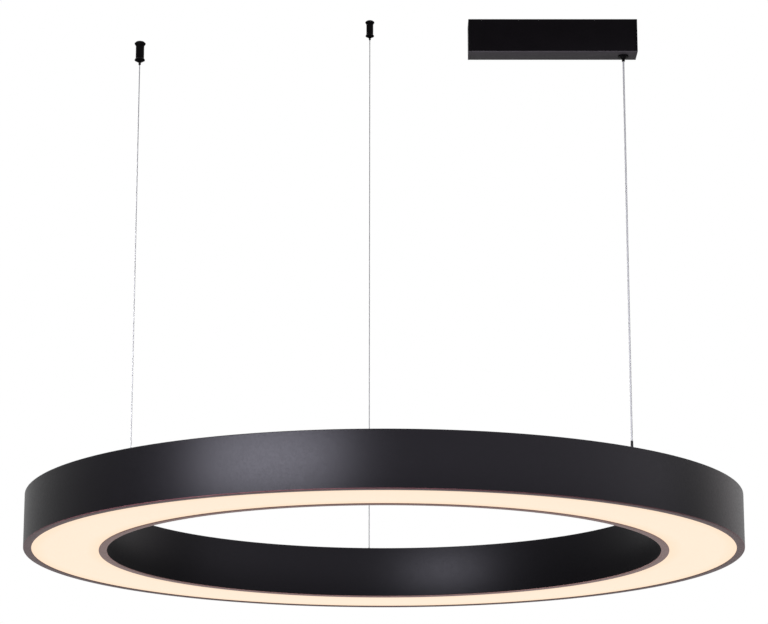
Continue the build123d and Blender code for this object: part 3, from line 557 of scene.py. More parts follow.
class Finish(Nodes):
    """Material on Object coordinates, built up one texture at a time."""

    def __init__(self, name, metallic=0.0, specular=0.5):
        self.material = bpy.data.materials.new(name)
        super().__init__(self.material)
        self.shader = self.tree.nodes["Principled BSDF"]
        self.join(metallic, self.shader.inputs["Metallic"])
        self.join(specular, self.shader.inputs["Specular IOR Level"])
        self.place = self.add("ShaderNodeTexCoord").outputs["Object"]
        self.normal = None

    def moved(self, offset=(0, 0, 0), scale=(1, 1, 1)):
        """Coordinates with another origin and scale."""
        start = [-o * s for o, s in zip(offset, scale)]
        node = self.add("ShaderNodeMapping", {"Vector": self.place, "Location": start, "Scale": scale})
        return node.outputs["Vector"]

    def distance(self, axis):
        """Distance from an upright axis."""
        flat = self.moved(offset=(*axis, 0.0), scale=(1.0, 1.0, 0.0))
        return self.add("ShaderNodeVectorMath", {0: flat}, operation="LENGTH").outputs["Value"]

    def along(self, letter, place=None):
        """One coordinate: X, Y or Z."""
        return self.add("ShaderNodeSeparateXYZ", {"Vector": place or self.place}).outputs[letter]

    def noise(self, scale, detail=2.0, place=None):
        """Cloudy pattern; scale is in repeats to the metre."""
        inputs = {"Vector": place or self.place, "Scale": scale, "Detail": detail}
        return self.add("ShaderNodeTexNoise", inputs).outputs["Fac"]

    def cells(self, scale):
        """Pattern of flat patches of random level."""
        patches = self.add("ShaderNodeTexVoronoi", {"Vector": self.place, "Scale": scale})
        return self.add("ShaderNodeSeparateColor", {"Color": patches.outputs["Color"]}).outputs["Red"]

    def spread(self, level, low, high, start=0.0, end=1.0):
        """Level that runs from low to high while another runs from start to end."""
        inputs = {"Value": level, "From Min": start, "From Max": end, "To Min": low, "To Max": high}
        return self.add("ShaderNodeMapRange", inputs).outputs["Result"]

    def ramp(self, level, *stops):
        """Colour that follows a level through (position, colour) stops."""
        node = self.add("ShaderNodeValToRGB", {"Fac": level})
        elements = node.color_ramp.elements
        while len(elements) < len(stops):
            elements.new(0.5)
        for element, (position, rgb) in zip(elements, stops):
            element.position = position
            element.color = (*rgb, 1.0)
        return node.outputs["Color"]

    def colour(self, level, *stops):
        """Base colour that follows a level."""
        self.join(self.ramp(level, *stops), self.shader.inputs["Base Color"])

    def mottle(self, level, rgb, amount, low=NOISE_LOW, high=NOISE_HIGH):
        """Base colour that goes from darker than rgb to lighter by an amount, between two levels."""
        dark = [c * (1 - amount) for c in rgb]
        light = [min(1.0, c * (1 + amount)) for c in rgb]
        self.colour(level, (low, dark), (high, light))

    def blend(self, level, rgb):
        """Let another colour take the base colour's place where a level is 1."""
        base = self.shader.inputs["Base Color"]
        inputs = {0: level, 6: base.links[0].from_socket, 7: rgb}
        self.join(self.add("ShaderNodeMix", inputs, data_type="RGBA").outputs[2], base)

    def roughness(self, level, low, high):
        """Roughness that follows a level."""
        self.join(self.spread(level, low, high, NOISE_LOW, NOISE_HIGH), self.shader.inputs["Roughness"])

    def bump(self, level, depth, strength):
        """Relief that follows a level, over any earlier relief; depth is in millimetres."""
        inputs = {"Height": level, "Distance": depth * MM, "Strength": strength}
        if self.normal:
            inputs["Normal"] = self.normal
        self.normal = self.add("ShaderNodeBump", inputs).outputs["Normal"]
        self.join(self.normal, self.shader.inputs["Normal"])


def powder_coat(finishes, slot, low, high, gloss):
    """Satin black powder coat: a fine orange peel, with broad faint clouds in tone and sheen."""
    coat = Finish(f"{slot}_finish", specular=gloss)
    coat.shader.inputs["Specular Tint"].default_value = (*finishes.gloss_tint, 1.0)
    coat.mottle(coat.noise(60.0, 4.0), getattr(finishes, slot), 0.12)
    coat.roughness(coat.noise(420.0, 3.0), low, high)
    coat.bump(coat.noise(650.0, 2.0), 0.03, 0.5)
    coat.bump(coat.noise(2600.0, 1.0), 0.008, 0.5)
    return coat


def lighten_below(finishes, coat, foot, level, first, last):
    """Paint light from below onto a coat where it faces down at height foot, from one colour to another along
    a level: painted light, not a colour of the coat.
    """
    clouds = coat.spread(coat.noise(60.0, 4.0), -0.1, 0.1, NOISE_LOW, NOISE_HIGH)
    tone = coat.ramp(coat.math("ADD", level, clouds), (0.0, first), (1.0, last))
    below = coat.spread(coat.along("Z"), 1.0, 0.0, foot + finishes.foot_full, foot + finishes.foot_gone)
    coat.blend(below, tone)


def ring_coat(finishes):
    """Coat of the ring's rims and top plate, with the lips' undersides painted paler: painted light from
    below and from the diffuser's glow.
    """
    coat = powder_coat(finishes, "ring_coat", 0.37, 0.43, finishes.ring_gloss)
    across = coat.spread(coat.distance(RING_AXIS), 0.0, 1.0, half_width("inner_rim"), half_width("outer_rim"))
    # Painted light on the lips' undersides, from the inner lip's colour to the outer lip's
    lighten_below(finishes, coat, RING_BOTTOM, across, finishes.inner_lip, finishes.outer_lip)
    return coat.material


def canopy_coat(finishes):
    """Coat of the canopy's channel and end caps, with its underside painted paler towards the front: painted
    light from below.
    """
    coat = powder_coat(finishes, "canopy_coat", 0.34, 0.42, finishes.canopy_gloss)
    low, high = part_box("canopy_channel")
    across = coat.spread(coat.along("Y"), 0.0, 1.0, low.y, high.y)
    # Painted light on the canopy's underside, paler at the front than at the back
    lighten_below(finishes, coat, low.z, across, finishes.foot_front, finishes.foot_back)
    return coat.material


def fitting_coat(finishes):
    """Coat of the turned fittings, over faint tool marks."""
    coat = Finish("fitting_coat_finish", specular=finishes.fitting_gloss)
    coat.mottle(coat.noise(120.0, 3.0), finishes.fitting_coat, 0.25)
    coat.roughness(coat.noise(300.0, 2.0), 0.34, 0.46)
    coat.bump(coat.noise(3000.0, 1.0, coat.moved(scale=(0.02, 0.02, 1.0))), 0.01, 0.4)
    return coat.material


def black_screw(finishes):
    """Black oxide on screws, worn brighter in patches."""
    steel = Finish("black_screw_finish", metallic=0.85)
    steel.colour(steel.noise(900.0, 4.0), (0.35, finishes.screw_black), (0.75, finishes.screw_worn))
    steel.roughness(steel.noise(1500.0, 3.0), 0.32, 0.5)
    steel.bump(steel.noise(4000.0, 2.0), 0.01, 0.3)
    return steel.material


def opal(finishes):
    """Lit opal sheet: an even warm glow that deepens a little beside the lips."""
    sizes = bpy.context.scene.pendant_ring
    sheet = Finish("opal_finish", specular=0.05)
    sheet.mottle(sheet.noise(60.0, 3.0), finishes.opal, 0.05)
    sheet.roughness(sheet.noise(400.0, 2.0), 0.5, 0.6)
    sheet.bump(sheet.noise(1800.0, 2.0), 0.006, 0.3)
    outer, inner = wall_radii(sizes)
    lip = sizes.lip_width
    across = sheet.spread(sheet.distance(RING_AXIS), 0.0, 1.0, inner + lip, outer - lip)
    glow = sheet.ramp(
        sheet.math("ADD", across, sheet.spread(sheet.noise(14.0, 2.0), -0.05, 0.05)),
        (0.0, finishes.glow_edge), (0.2, finishes.glow_middle),
        (0.8, finishes.glow_middle), (1.0, finishes.glow_edge),
    )
    sheet.join(glow, sheet.shader.inputs["Emission Color"])
    sheet.shader.inputs["Emission Strength"].default_value = 1.0
    return sheet.material


def board(finishes):
    """White solder mask, with yellow phosphor on the chips, which hang lowest."""
    chip_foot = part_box("led_board_1")[0].z
    mask = Finish("board_finish")
    height = mask.spread(mask.along("Z"), 0.0, 1.0, chip_foot, chip_foot + finishes.board_rise)
    mask.colour(
        mask.math("ADD", height, mask.spread(mask.noise(500.0), -0.06, 0.06)),
        (0.0, finishes.phosphor), (0.3, finishes.phosphor_edge),
        (0.5, finishes.mask), (1.0, finishes.mask_back),
    )
    mask.roughness(mask.noise(200.0), 0.35, 0.5)
    mask.bump(mask.noise(1500.0), 0.01, 0.3)
    return mask.material


def wire(finishes):
    """Bare drawn steel, brighter and duller along the wire."""
    steel = Finish("wire_finish", metallic=0.8)
    along = steel.moved(scale=(1.0, 1.0, 0.2))
    steel.mottle(steel.noise(300.0, 3.0, along), finishes.wire, 0.12)
    steel.roughness(steel.noise(500.0, 2.0, along), 0.5, 0.6)
    steel.bump(steel.noise(9000.0, 1.0, along), 0.004, 0.3)
    return steel.material


def cable(finishes):
    """Grey jacket through which the crossed wires of a braid show."""
    sizes = bpy.context.scene.pendant_lines
    jacket = Finish("cable_finish", specular=0.12)
    place = jacket.moved(offset=(*middle("feed_cable"), 0.0))
    turn = jacket.math("ARCTAN2", jacket.along("Y", place), jacket.along("X", place))
    climb = jacket.math("MULTIPLY", jacket.along("Z", place), 2 * pi / sizes.braid_lay)
    waves = []
    for hand in ("ADD", "SUBTRACT"):
        phase = jacket.math(hand, climb, turn)
        waves.append(jacket.math("SINE", jacket.math("MULTIPLY", phase, sizes.braid_wires)))
    braid = jacket.math("MULTIPLY", *waves)
    jacket.mottle(jacket.spread(braid, 0.0, 1.0, -1.0, 1.0), finishes.cable, 0.25, 0.25, 0.75)
    jacket.roughness(jacket.noise(400.0, 2.0), 0.45, 0.58)
    jacket.bump(braid, 0.012, 0.4)
    return jacket.material


def sleeve(finishes):
    """Black rubber with a dusty bloom."""
    rubber = Finish("sleeve_finish", specular=0.08)
    rubber.colour(rubber.noise(220.0, 4.0), (0.3, finishes.sleeve), (0.8, finishes.sleeve_bloom))
    rubber.roughness(rubber.noise(500.0, 2.0), 0.5, 0.68)
    rubber.bump(rubber.noise(1800.0, 3.0), 0.02, 0.4)
    return rubber.material


def moulded(name, rgb, low, high):
    """Moulded plastic with a fine spark-eroded texture."""
    plastic = Finish(name)
    plastic.mottle(plastic.noise(80.0, 3.0), rgb, 0.05)
    plastic.roughness(plastic.noise(250.0, 2.0), low, high)
    plastic.bump(plastic.noise(2200.0, 3.0), 0.02, 0.4)
    return plastic.material


def plated(name, rgb, low, high):
    """Plated steel: a faint crystal pattern in colour and sheen, with fine rolling lines."""
    plate = Finish(name, metallic=1.0)
    patches = plate.math("ADD", plate.cells(260.0), plate.spread(plate.noise(40.0, 3.0), -0.3, 0.3))
    plate.mottle(patches, rgb, 0.1)
    plate.roughness(patches, low, high)
    plate.bump(plate.noise(1200.0, 2.0, plate.moved(scale=(0.05, 1.0, 1.0))), 0.006, 0.4)
    return plate.material


OWN_FINISHES = {
    maker.__name__: maker
    for maker in (ring_coat, canopy_coat, fitting_coat, black_screw, opal, board, wire, cable, sleeve)
}
# Finishes that differ only in colour and in the range of their roughness
SHARED_FINISHES = {
    "connector": (moulded, 0.4, 0.55),
    "driver_case": (moulded, 0.45, 0.6),
    "lead": (moulded, 0.35, 0.5),
    "zinc": (plated, 0.3, 0.45),
    "ferrule": (plated, 0.35, 0.5),
    "brass": (plated, 0.25, 0.4),
    "bright_steel": (plated, 0.12, 0.22),
}


def finish_of(node):
    """Finish of a CAD node's slot, made when it is first asked for."""
    finishes = bpy.context.scene.pendant_finishes
    slot = SLOT_OF[node]
    name = f"{slot}_finish"
    if name in bpy.data.materials:
        return bpy.data.materials[name]
    if slot in OWN_FINISHES:
        return OWN_FINISHES[slot](finishes)
    maker, low, high = SHARED_FINISHES[slot]
    return maker(name, getattr(finishes, slot), low, high)


# Operators

class PENDANT_OT_stage(bpy.types.Operator):
    """Set up the camera, the lamps, the world and the floor"""

    bl_idname = "pendant.stage"
    bl_label = "Stage"

    def execute(self, context):
        settings = context.scene.pendant_studio
        context.scene.view_settings.view_transform = "Standard"
        self.add_camera(context, settings)
        self.light_world(context, settings)
        self.lay_floor(context, settings)
        for name, (way, distance, size, tint) in LAMPS.items():
            offset = Vector(way).normalized() * distance
            lamp = self.add_lamp(context, name, offset, size, getattr(settings, f"{name}_power"), tint)
            if name == "key":
                lamp.data.spread = settings.key_grid
                lamp.rotation_euler.z += settings.key_turn
        return {"FINISHED"}

    def add_camera(self, context, settings):
        """Camera below the ring that looks up at it, as in the photograph."""
        data = bpy.data.cameras.new("camera")
        data.lens = settings.camera_lens
        data.sensor_width = SENSOR_WIDTH
        camera = bpy.data.objects.new("camera", data)
        camera.location = settings.camera_place
        camera.rotation_euler = (pi / 2 + settings.camera_pitch, 0.0, 0.0)
        context.scene.collection.objects.link(camera)
        context.scene.camera = camera

    def add_lamp(self, context, name, offset, size, watts, tint):
        """Softbox of a given width and height that faces the ring."""
        data = bpy.data.lights.new(name, "AREA")
        data.shape = "RECTANGLE"
        data.size, data.size_y = size
        data.energy = watts
        data.color = tint
        lamp = bpy.data.objects.new(name, data)
        lamp.location = Vector((*RING_AXIS, RING_BOTTOM)) + offset
        lamp.rotation_euler = offset.to_track_quat("Z", "Y").to_euler()
        lamp.visible_camera = False
        context.scene.collection.objects.link(lamp)
        return lamp

    def light_world(self, context, settings):
        """Surroundings that look white, also in gloss, but light the object at a lower, even level."""
        context.scene.world = bpy.data.worlds.new("studio")
        sky = Nodes(context.scene.world)
        white = sky.tree.nodes["Background"]
        sky.join((*WHITE, 1.0), white.inputs["Color"])
        even = sky.add("ShaderNodeBackground", {"Color": (*WHITE, 1.0), "Strength": settings.ambient})
        path = sky.add("ShaderNodeLightPath").outputs
        seen = path["Is Camera Ray"]
        for kind in ("Is Glossy Ray", "Is Transmission Ray"):
            seen = sky.math("MAXIMUM", seen, path[kind])
        sky.mix(seen, even, white)

    def lay_floor(self, context, settings):
        """Pale floor that is clear from below and fades out into the white surroundings."""
        bm = bmesh.new()
        bmesh.ops.create_circle(
            bm, cap_ends=True, segments=settings.floor_sides, radius=settings.floor_radius
        )
        bmesh.ops.translate(bm, vec=(*RING_AXIS, settings.floor_level), verts=bm.verts[:])
        mesh = bpy.data.meshes.new("floor")
        bm.to_mesh(mesh)
        bm.free()
        floor = bpy.data.objects.new("floor", mesh)
        context.scene.collection.objects.link(floor)
        paint = Finish("floor_paint", specular=0.2)
        paint.mottle(paint.noise(2.0, 3.0), settings.floor_colour, 0.01)
        paint.roughness(paint.noise(5.0), 0.6, 0.7)
        away = paint.distance(RING_AXIS)
        faded = paint.spread(away, 0.0, 1.0, settings.floor_plain, settings.floor_radius)
        below = paint.add("ShaderNodeNewGeometry").outputs["Backfacing"]
        clear = paint.add("ShaderNodeBsdfTransparent")
        paint.mix(paint.math("MAXIMUM", below, faded), paint.shader, clear)
        mesh.materials.append(paint.material)


class PENDANT_OT_rims(bpy.types.Operator):
    """Turn the ring's outer and inner rims, each a wall with a lip below and a ledge above"""

    bl_idname = "pendant.rims"
    bl_label = "Rims"

    def execute(self, context):
        sizes = context.scene.pendant_ring
        for node, wall, inward in zip(("outer_rim", "inner_rim"), wall_radii(sizes), (-1, 1)):
            add_turned(node, self.outline(sizes, wall, inward), sizes.turn_steps)
        return {"FINISHED"}

    def outline(self, sizes, wall, inward):
        """Section of a rim whose lip and ledge lie on the side that inward gives."""
        inside = wall + inward * sizes.wall
        lip = wall + inward * sizes.lip_width
        ledge = wall + inward * sizes.ledge_width
        plate_low = RING_TOP - sizes.plate_thick
        ledge_low = plate_low - sizes.ledge_thick
        lip_top = RING_BOTTOM + sizes.lip_thick
        return [
            (wall, RING_BOTTOM, sizes.edge_round),
            (wall, RING_TOP, sizes.edge_round),
            (inside, RING_TOP, sizes.lip_round),
            (inside, plate_low, 0),
            (ledge, plate_low, sizes.lip_round),
            (ledge, ledge_low, sizes.lip_round),
            (inside, ledge_low, 0),
            (inside, lip_top, 0),
            (lip, lip_top, sizes.lip_round),
            (lip, RING_BOTTOM, sizes.lip_round),
        ]


class PENDANT_OT_diffuser(bpy.types.Operator):
    """Turn the opal sheet that lies on the lips"""

    bl_idname = "pendant.diffuser"
    bl_label = "Diffuser"

    def execute(self, context):
        sizes = context.scene.pendant_ring
        low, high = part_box("diffuser")
        outer = half_width("diffuser")
        inner = wall_radii(sizes)[1] + sizes.wall + sizes.diffuser_gap
        outline = [
            (radius, height, sizes.diffuser_round)
            for radius, height in ((inner, low.z), (outer, low.z), (outer, high.z), (inner, high.z))
        ]
        add_turned("diffuser", outline, sizes.turn_steps)
        return {"FINISHED"}


class PENDANT_OT_rim_screws(bpy.types.Operator):
    """Make the cross-recessed screws that hold the top plate"""

    bl_idname = "pendant.rim_screws"
    bl_label = "Rim screws"

    def execute(self, context):
        sizes = context.scene.pendant_ring
        outer, inner = wall_radii(sizes)
        inset = (sizes.ledge_width + sizes.wall) / 2
        places = []
        for radius in (outer - inset, inner + inset):
            for index in range(sizes.screw_count):
                turn = 2 * pi * (index + 0.5) / sizes.screw_count
                x = RING_AXIS[0] + radius * cos(turn)
                y = RING_AXIS[1] + radius * sin(turn)
                # A different twist for every screw
                twist = Matrix.Rotation(turn * (index + 2) + radius, 4, "Z")
                places.append(Matrix.Translation((x, y, RING_TOP)) @ twist)
        screw = cut(to_mesh("rim_screw", self.blank(sizes)), to_mesh("cross", self.cross(sizes)))
        add_piece(to_mesh("rim_screws", repeated(screw, places)), "rim_screws")
        return {"FINISHED"}

    def blank(self, sizes):
        """Screw without its recess, with the top of its flat head at height 0."""
        low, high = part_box("rim_screws")
        tip = low.z - high.z
        shank = sizes.screw_shank
        outline = [
            (0, tip, 0),
            (shank / 2, tip, 0),
            (shank, tip + shank, 0),
            (shank, -sizes.screw_head_height, 0),
            (sizes.screw_head, 0, sizes.screw_soft),
            (0, 0, 0),
        ]
        return turned(outline, (0.0, 0.0), sizes.screw_steps)

    def cross(self, sizes):
        """Tapered cross that cuts the recess."""
        arm = sizes.cross_width / 2
        reach = sizes.cross_reach
        corner = [(reach, -arm), (reach, arm), (arm, arm)]
        outline = []
        for quarter in range(4):
            turn = Matrix.Rotation(quarter * pi / 2, 2)
            outline += [(*(turn @ Vector(point)), 0) for point in corner]
        bm = prism(outline, 2 * sizes.cross_depth)
        foot = [vertex for vertex in bm.verts if vertex.co.z < sizes.cross_depth]
        bmesh.ops.scale(bm, vec=(sizes.cross_taper, sizes.cross_taper, 1.0), verts=foot)
        bmesh.ops.translate(bm, vec=(0.0, 0.0, -sizes.cross_depth), verts=bm.verts[:])
        return bm


class PENDANT_OT_suspension_wires(bpy.types.Operator):
    """Wind the two stranded steel wires"""

    bl_idname = "pendant.suspension_wires"
    bl_label = "Suspension wires"

    def execute(self, context):
        sizes = context.scene.pendant_lines
        for name in SUSPENSIONS:
            node = f"{name}_wire"
            low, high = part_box(node)
            total = high.z - low.z
            line = route_points(upright_route(node), round(total / sizes.wire_pitch))
            lines, strand_radius = strands(line, sizes.wire_radius, sizes.wire_lay)
            piece = add_piece(swept(node, lines, strand_radius, sizes.strand_sides), node)
            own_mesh(piece)
        return {"FINISHED"}


class PENDANT_OT_feed_cable(bpy.types.Operator):
    """Draw the feed cable that carries the ring and its current"""

    bl_idname = "pendant.feed_cable"
    bl_label = "Feed cable"

    def execute(self, context):
        sizes = context.scene.pendant_lines
        low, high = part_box("feed_cable")
        total = high.z - low.z
        line = route_points(upright_route("feed_cable"), round(total / sizes.cable_pitch))
        piece = add_piece(swept("feed_cable", [line], sizes.cable_radius, sizes.cable_sides), "feed_cable")
        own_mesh(piece)
        return {"FINISHED"}


class PENDANT_OT_hangers(bpy.types.Operator):
    """Turn the bosses, the gland and the sleeve on the ring's top"""

    bl_idname = "pendant.hangers"
    bl_label = "Hangers"

    def execute(self, context):
        sizes = context.scene.pendant_fittings
        for name in SUSPENSIONS:
            node = f"hanger_boss_{name}"
            mouth = [(sizes.wire_bore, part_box(node)[1].z, sizes.edge_round)]
            outline = self.boss(sizes, node, sizes.wire_bore, sizes.boss_stem) + mouth
            add_turned(node, outline, sizes.turn_steps)
        add_turned("feed_gland", self.gland(sizes), sizes.turn_steps)
        add_turned("feed_sleeve", self.sleeve(sizes), sizes.turn_steps)
        return {"FINISHED"}

    def boss(self, sizes, node, bore, stem):
        """Section of a boss with its stem, without the edge of the hole in its top."""
        low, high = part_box(node)
        radius = half_width(node)
        soft = sizes.edge_round
        return [
            (bore, low.z, 0),
            (stem, low.z, soft),
            (stem, RING_TOP, 0),
            (radius, RING_TOP, soft),
            (radius, high.z - sizes.boss_chamfer, soft),
            (radius - sizes.boss_chamfer, high.z, soft),
        ]

    def gland(self, sizes):
        """Section of the feed gland, with the seat for the sleeve."""
        seat = half_width("feed_sleeve") + sizes.sleeve_gap
        seat_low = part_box("feed_sleeve")[0].z
        return [
            *self.boss(sizes, "feed_gland", sizes.cable_bore, sizes.gland_stem),
            (seat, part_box("feed_gland")[1].z, sizes.edge_round),
            (seat, seat_low, 0),
            (sizes.cable_bore, seat_low, 0),
        ]

    def sleeve(self, sizes):
        """Section of the tapered sleeve."""
        low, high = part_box("feed_sleeve")
        bore = half_width("feed_cable") + sizes.sleeve_gap
        foot = half_width("feed_sleeve")
        return [
            (bore, low.z, 0),
            (foot, low.z, 0),
            (foot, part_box("feed_gland")[1].z, sizes.edge_round),
            (sizes.sleeve_tip, high.z, sizes.edge_round),
            (bore, high.z, 0),
        ]


class PENDANT_OT_anchors(bpy.types.Operator):
    """Turn the bases and barrels of the two ceiling anchors"""

    bl_idname = "pendant.anchors"
    bl_label = "Ceiling anchors"

    def execute(self, context):
        sizes = context.scene.pendant_fittings
        for name in SUSPENSIONS:
            base = f"{name}_anchor_base"
            barrel = f"{name}_anchor_barrel"
            add_turned(base, self.base(sizes, base), sizes.turn_steps)
            add_turned(barrel, self.barrel(sizes, barrel), sizes.turn_steps)
        return {"FINISHED"}

    def base(self, sizes, node):
        """Section of the flanged base with its hole for the ceiling screw."""
        low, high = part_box(node)
        flange = half_width(node)
        neck = high.z - sizes.flange_thick - sizes.neck_drop
        recess = low.z + sizes.screw_recess_depth
        soft = sizes.edge_round
        return [
            (sizes.screw_bore, high.z, soft),
            (flange - sizes.flange_chamfer, high.z, soft),
            (flange, high.z - sizes.flange_chamfer, soft),
            (flange, high.z - sizes.flange_thick, soft),
            (sizes.barrel, neck, soft),
            (sizes.thread, neck, 0),
            (sizes.thread, low.z, soft),
            (sizes.screw_recess, low.z, 0),
            (sizes.screw_recess, recess, 0),
            (sizes.screw_bore, recess, 0),
        ]

    def barrel(self, sizes, node):
        """Section of the barrel, with the grip's taper inside and the collar round its lower end."""
        low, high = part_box(node)
        collar = half_width(node)
        thread = sizes.thread + sizes.thread_gap
        soft = sizes.edge_round
        nose_hole, bore, inner = grip_bore(sizes, sizes.wire_bore, low.z)
        return [
            *inner,
            (bore, low.z + sizes.barrel_thread_low, 0),
            (thread, low.z + sizes.barrel_thread_low, 0),
            (thread, high.z, 0),
            (sizes.barrel, high.z, soft),
            (sizes.barrel, low.z + sizes.collar_high + sizes.collar_flare, soft),
            (collar, low.z + sizes.collar_high, soft),
            (collar, low.z + sizes.collar_low, soft),
            (nose_hole + sizes.end_land, low.z, soft),
        ]


class PENDANT_OT_cable_grip(bpy.types.Operator):
    """Turn the body of the feed cable's grip under the canopy"""

    bl_idname = "pendant.cable_grip"
    bl_label = "Cable grip"

    def execute(self, context):
        sizes = context.scene.pendant_fittings
        low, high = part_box("cable_grip_body")
        flange = half_width("cable_grip_body")
        soft = sizes.edge_round
        nose_hole, bore, inner = grip_bore(sizes, sizes.cable_bore, low.z)
        tube = bore + sizes.grip_tube_wall
        flange_low = low.z + sizes.grip_cone_drop
        flange_top = flange_low + sizes.grip_flange_thick
        cone_root = sizes.cable_bore + sizes.pocket_wall + sizes.grip_cone_root
        outline = [
            *inner,
            (bore, high.z, 0),
            (tube, high.z, soft),
            (tube, flange_top, 0),
            (flange, flange_top, soft),
            (flange, flange_low, soft),
            (cone_root, flange_low, 0),
            (nose_hole + sizes.end_land, low.z, soft),
        ]
        add_turned("cable_grip_body", outline, sizes.turn_steps)
        return {"FINISHED"}


class PENDANT_OT_springs(bpy.types.Operator):
    """Coil the springs inside the three grips"""

    bl_idname = "pendant.springs"
    bl_label = "Grip springs"

    def execute(self, context):
        sizes = context.scene.pendant_lines
        for grip, joint in PLUNGER_JOINTS.items():
            node = f"{grip}_spring"
            piece = add_piece(to_mesh(node, self.coil(sizes, node)), node)
            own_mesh(piece)
        return {"FINISHED"}

    def coil(self, sizes, node):
        """Round wire wound up in even turns, with closed ends."""
        low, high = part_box(node)
        axis = middle(node)
        steps = sizes.spring_steps * sizes.spring_turns
        radius = half_width(node) - sizes.spring_wire
        rise = high.z - low.z - 2 * sizes.spring_wire
        bm = bmesh.new()
        place = Matrix.Translation((axis[0] + radius, axis[1], low.z + sizes.spring_wire))
        bmesh.ops.create_circle(
            bm, cap_ends=False, segments=sizes.spring_sides, radius=sizes.spring_wire,
            matrix=place @ Matrix.Rotation(pi / 2, 4, "X"),
        )
        bmesh.ops.spin(
            bm, geom=bm.verts[:] + bm.edges[:], cent=(*axis, 0.0), axis=UP,
            angle=2 * pi * sizes.spring_turns, steps=steps, dvec=(0.0, 0.0, rise / steps), use_merge=False,
        )
        bmesh.ops.holes_fill(bm, edges=[edge for edge in bm.edges if edge.is_boundary], sides=0)
        return bm


class PENDANT_OT_canopy(bpy.types.Operator):
    """Shape the canopy's channel, its end caps and their screws"""

    bl_idname = "pendant.canopy"
    bl_label = "Canopy"

    def execute(self, context):
        sizes = context.scene.pendant_canopy
        add_piece(self.channel(sizes), "canopy_channel")
        for side, sign in (("left", -1), ("right", 1)):
            node = f"end_cap_{side}"
            add_piece(self.end_cap(sizes, node, sign), node)
        add_piece(self.screws(sizes), "canopy_screws")
        return {"FINISHED"}

    def lay_along_x(self, bm, start):
        """Lay a prism's outline across the canopy and its thickness along +X from start."""
        turn = Matrix(((0, 0, 1, start), (1, 0, 0, 0), (0, 1, 0, 0), (0, 0, 0, 1)))
        bmesh.ops.transform(bm, matrix=turn, verts=bm.verts[:])

    def soften_ends(self, bm, low, high, size):
        """Round the edges of the two end faces of a mesh that lies along X."""
        ends = [
            edge for edge in bm.edges
            if any(all(abs(v.co.x - x) < MERGE_DISTANCE for v in edge.verts) for x in (low, high))
        ]
        soften(bm, ends, size)

    def outer_corners(self, sizes, low, high):
        """Outer corners of the section, which is open to the ceiling."""
        soft, edge = sizes.joint_round, sizes.edge_round
        return [(low.y, high.z, soft), (low.y, low.z, edge), (high.y, low.z, edge), (high.y, high.z, soft)]

    def channel(self, sizes):
        """Channel with a hole for the cable grip."""
        low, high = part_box("canopy_channel")
        inner = high.y - sizes.wall
        floor = low.z + sizes.wall
        soft = sizes.joint_round
        inside = [(inner, high.z, soft), (inner, floor, 0), (-inner, floor, 0), (-inner, high.z, soft)]
        bm = prism(self.outer_corners(sizes, low, high) + inside, high.x - low.x)
        self.lay_along_x(bm, low.x)
        self.soften_ends(bm, low.x, high.x, soft)
        under, over = floor - 3 * sizes.wall, floor + sizes.wall
        hole = [(0, under, 0), (0, over, 0), (sizes.grip_hole, over, 0), (sizes.grip_hole, under, 0)]
        drill = turned(hole, middle("cable_grip_body"), sizes.turn_steps)
        return cut(to_mesh("canopy_channel", bm), to_mesh("grip_hole", drill))

    def end_cap(self, sizes, node, sign):
        """End cap with the channel's outer section, a spigot behind it and a countersunk hole."""
        low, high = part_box(node)
        plate = high.x - low.x - sizes.spigot
        plate_low = high.x - plate if sign > 0 else low.x
        spigot_low = low.x if sign > 0 else low.x + plate
        bm = prism(self.outer_corners(sizes, low, high), plate)
        self.lay_along_x(bm, plate_low)
        self.soften_ends(bm, plate_low, plate_low + plate, sizes.joint_round)
        drill = self.screw(sizes, sign, sizes.screw_hole, sizes.screw_gap)
        cap = cut(to_mesh(node, bm), to_mesh("countersink", drill))
        inset = sizes.wall + sizes.cap_gap
        front, back, foot = low.y + inset, high.y - inset, low.z + inset
        outline = [(front, high.z, 0), (front, foot, 0), (back, foot, 0), (back, high.z, 0)]
        spigot = prism(outline, sizes.spigot)
        self.lay_along_x(spigot, spigot_low)
        return to_mesh(node, joined(cap, to_mesh("spigot", spigot)))

    def end_place(self, sign):
        """Matrix that takes the origin to a cap screw's head, with +Z out of the canopy's end."""
        low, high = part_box("canopy_screws")
        place = Matrix.Translation((high.x, 0.0, (low.z + high.z) / 2)) @ Matrix.Rotation(pi / 2, 4, "Y")
        return place if sign > 0 else Matrix.Rotation(pi, 4, "Z") @ place

    def screw(self, sizes, sign, reach, gap=0.0):
        """Countersunk screw at one end of the canopy, widened by a gap where it cuts its hole."""
        outline = [
            (0, -reach, 0),
            (sizes.screw_shank + gap, -reach, 0),
            (sizes.screw_shank + gap, -sizes.screw_head_height, 0),
            (sizes.screw_head + gap, 0, 0),
        ]
        if gap:
            outline.append((sizes.screw_head + gap, gap, 0))
        bm = turned([*outline, (0, gap, 0)], (0.0, 0.0), sizes.turn_steps)
        bmesh.ops.transform(bm, matrix=self.end_place(sign), verts=bm.verts[:])
        return bm

    def screws(self, sizes):
        """The two cap screws with their hexagon sockets."""
        screws = []
        for sign in (-1, 1):
            blank = self.screw(sizes, sign, sizes.screw_reach)
            bmesh.ops.translate(blank, vec=(-sign * sizes.screw_sink, 0.0, 0.0), verts=blank.verts[:])
            socket = bmesh.new()
            bmesh.ops.create_cone(
                socket, cap_ends=True, segments=SOCKET_SIDES, radius1=sizes.socket, radius2=sizes.socket,
                depth=2 * sizes.socket_depth,
                matrix=self.end_place(sign) @ Matrix.Rotation(SOCKET_TURN, 4, "Z"),
            )
            screws.append(cut(to_mesh("cap_screw", blank), to_mesh("socket", socket)))
        return to_mesh("canopy_screws", joined(*screws))


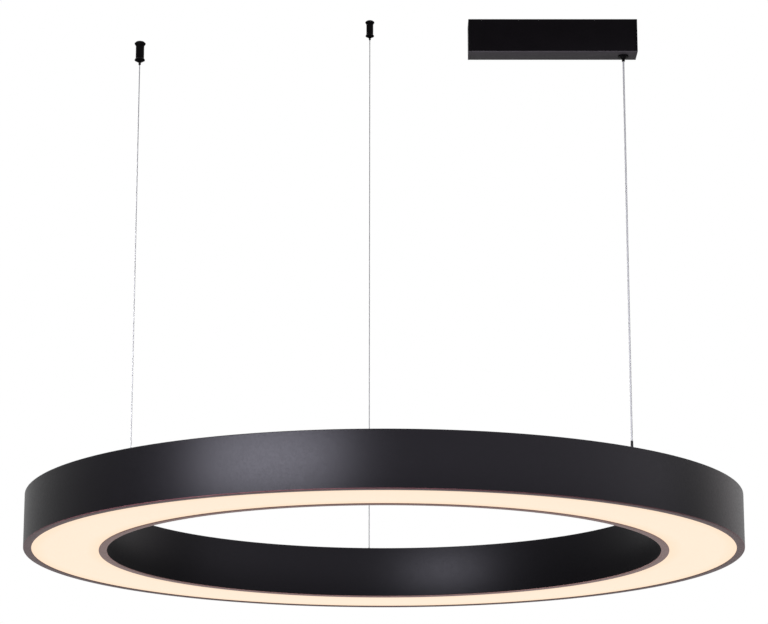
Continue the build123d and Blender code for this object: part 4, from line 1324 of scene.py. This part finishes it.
class PENDANT_OT_carried_over(bpy.types.Operator):
    """Give every CAD piece that still shows the finish of its slot"""

    bl_idname = "pendant.carried_over"
    bl_label = "Carried-over pieces"

    def execute(self, context):
        for name, node in frame["nodes"].items():
            if node.hide_render:
                continue
            node.data.materials.clear()
            node.data.materials.append(finish_of(name))
        return {"FINISHED"}


class PENDANT_PT_sidebar(bpy.types.Panel):
    """Steps that build the light, and the sizes and colours that they read"""

    bl_idname = "PENDANT_PT_sidebar"
    bl_label = "Ring pendant light"
    bl_space_type = "VIEW_3D"
    bl_region_type = "UI"
    bl_category = "Pendant"

    def draw(self, context):
        for operator in OPERATORS:
            self.layout.operator(operator.bl_idname)
        for attribute, group in SETTINGS.items():
            box = self.layout.box()
            for name in group.__annotations__:
                box.prop(getattr(context.scene, attribute), name)


SETTINGS = {
    "pendant_ring": RingSizes,
    "pendant_lines": LineSizes,
    "pendant_fittings": FittingSizes,
    "pendant_canopy": CanopySizes,
    "pendant_finishes": Finishes,
    "pendant_studio": StudioSettings,
}
OPERATORS = (
    PENDANT_OT_stage, PENDANT_OT_suspension_wires, PENDANT_OT_feed_cable, PENDANT_OT_rims,
    PENDANT_OT_diffuser, PENDANT_OT_rim_screws, PENDANT_OT_hangers, PENDANT_OT_anchors,
    PENDANT_OT_cable_grip, PENDANT_OT_springs, PENDANT_OT_canopy, PENDANT_OT_carried_over,
)


def register():
    """Add the settings, the operators and the panel."""
    for attribute, group in SETTINGS.items():
        bpy.utils.register_class(group)
        setattr(bpy.types.Scene, attribute, bpy.props.PointerProperty(type=group))
    for item in (*OPERATORS, PENDANT_PT_sidebar):
        bpy.utils.register_class(item)


def unregister():
    """Take the panel, the operators and the settings away again."""
    for item in (PENDANT_PT_sidebar, *reversed(OPERATORS)):
        bpy.utils.unregister_class(item)
    for attribute, group in SETTINGS.items():
        delattr(bpy.types.Scene, attribute)
        bpy.utils.unregister_class(group)


def main():
    """Build the light step by step."""
    register()
    bpy.ops.pendant.stage()
    bpy.ops.pendant.suspension_wires()
    bpy.ops.pendant.feed_cable()
    bpy.ops.pendant.rims()
    bpy.ops.pendant.diffuser()
    bpy.ops.pendant.rim_screws()
    bpy.ops.pendant.hangers()
    bpy.ops.pendant.anchors()
    bpy.ops.pendant.cable_grip()
    bpy.ops.pendant.springs()
    bpy.ops.pendant.canopy()
    bpy.ops.pendant.carried_over()


if __name__ == "__main__":
    main()
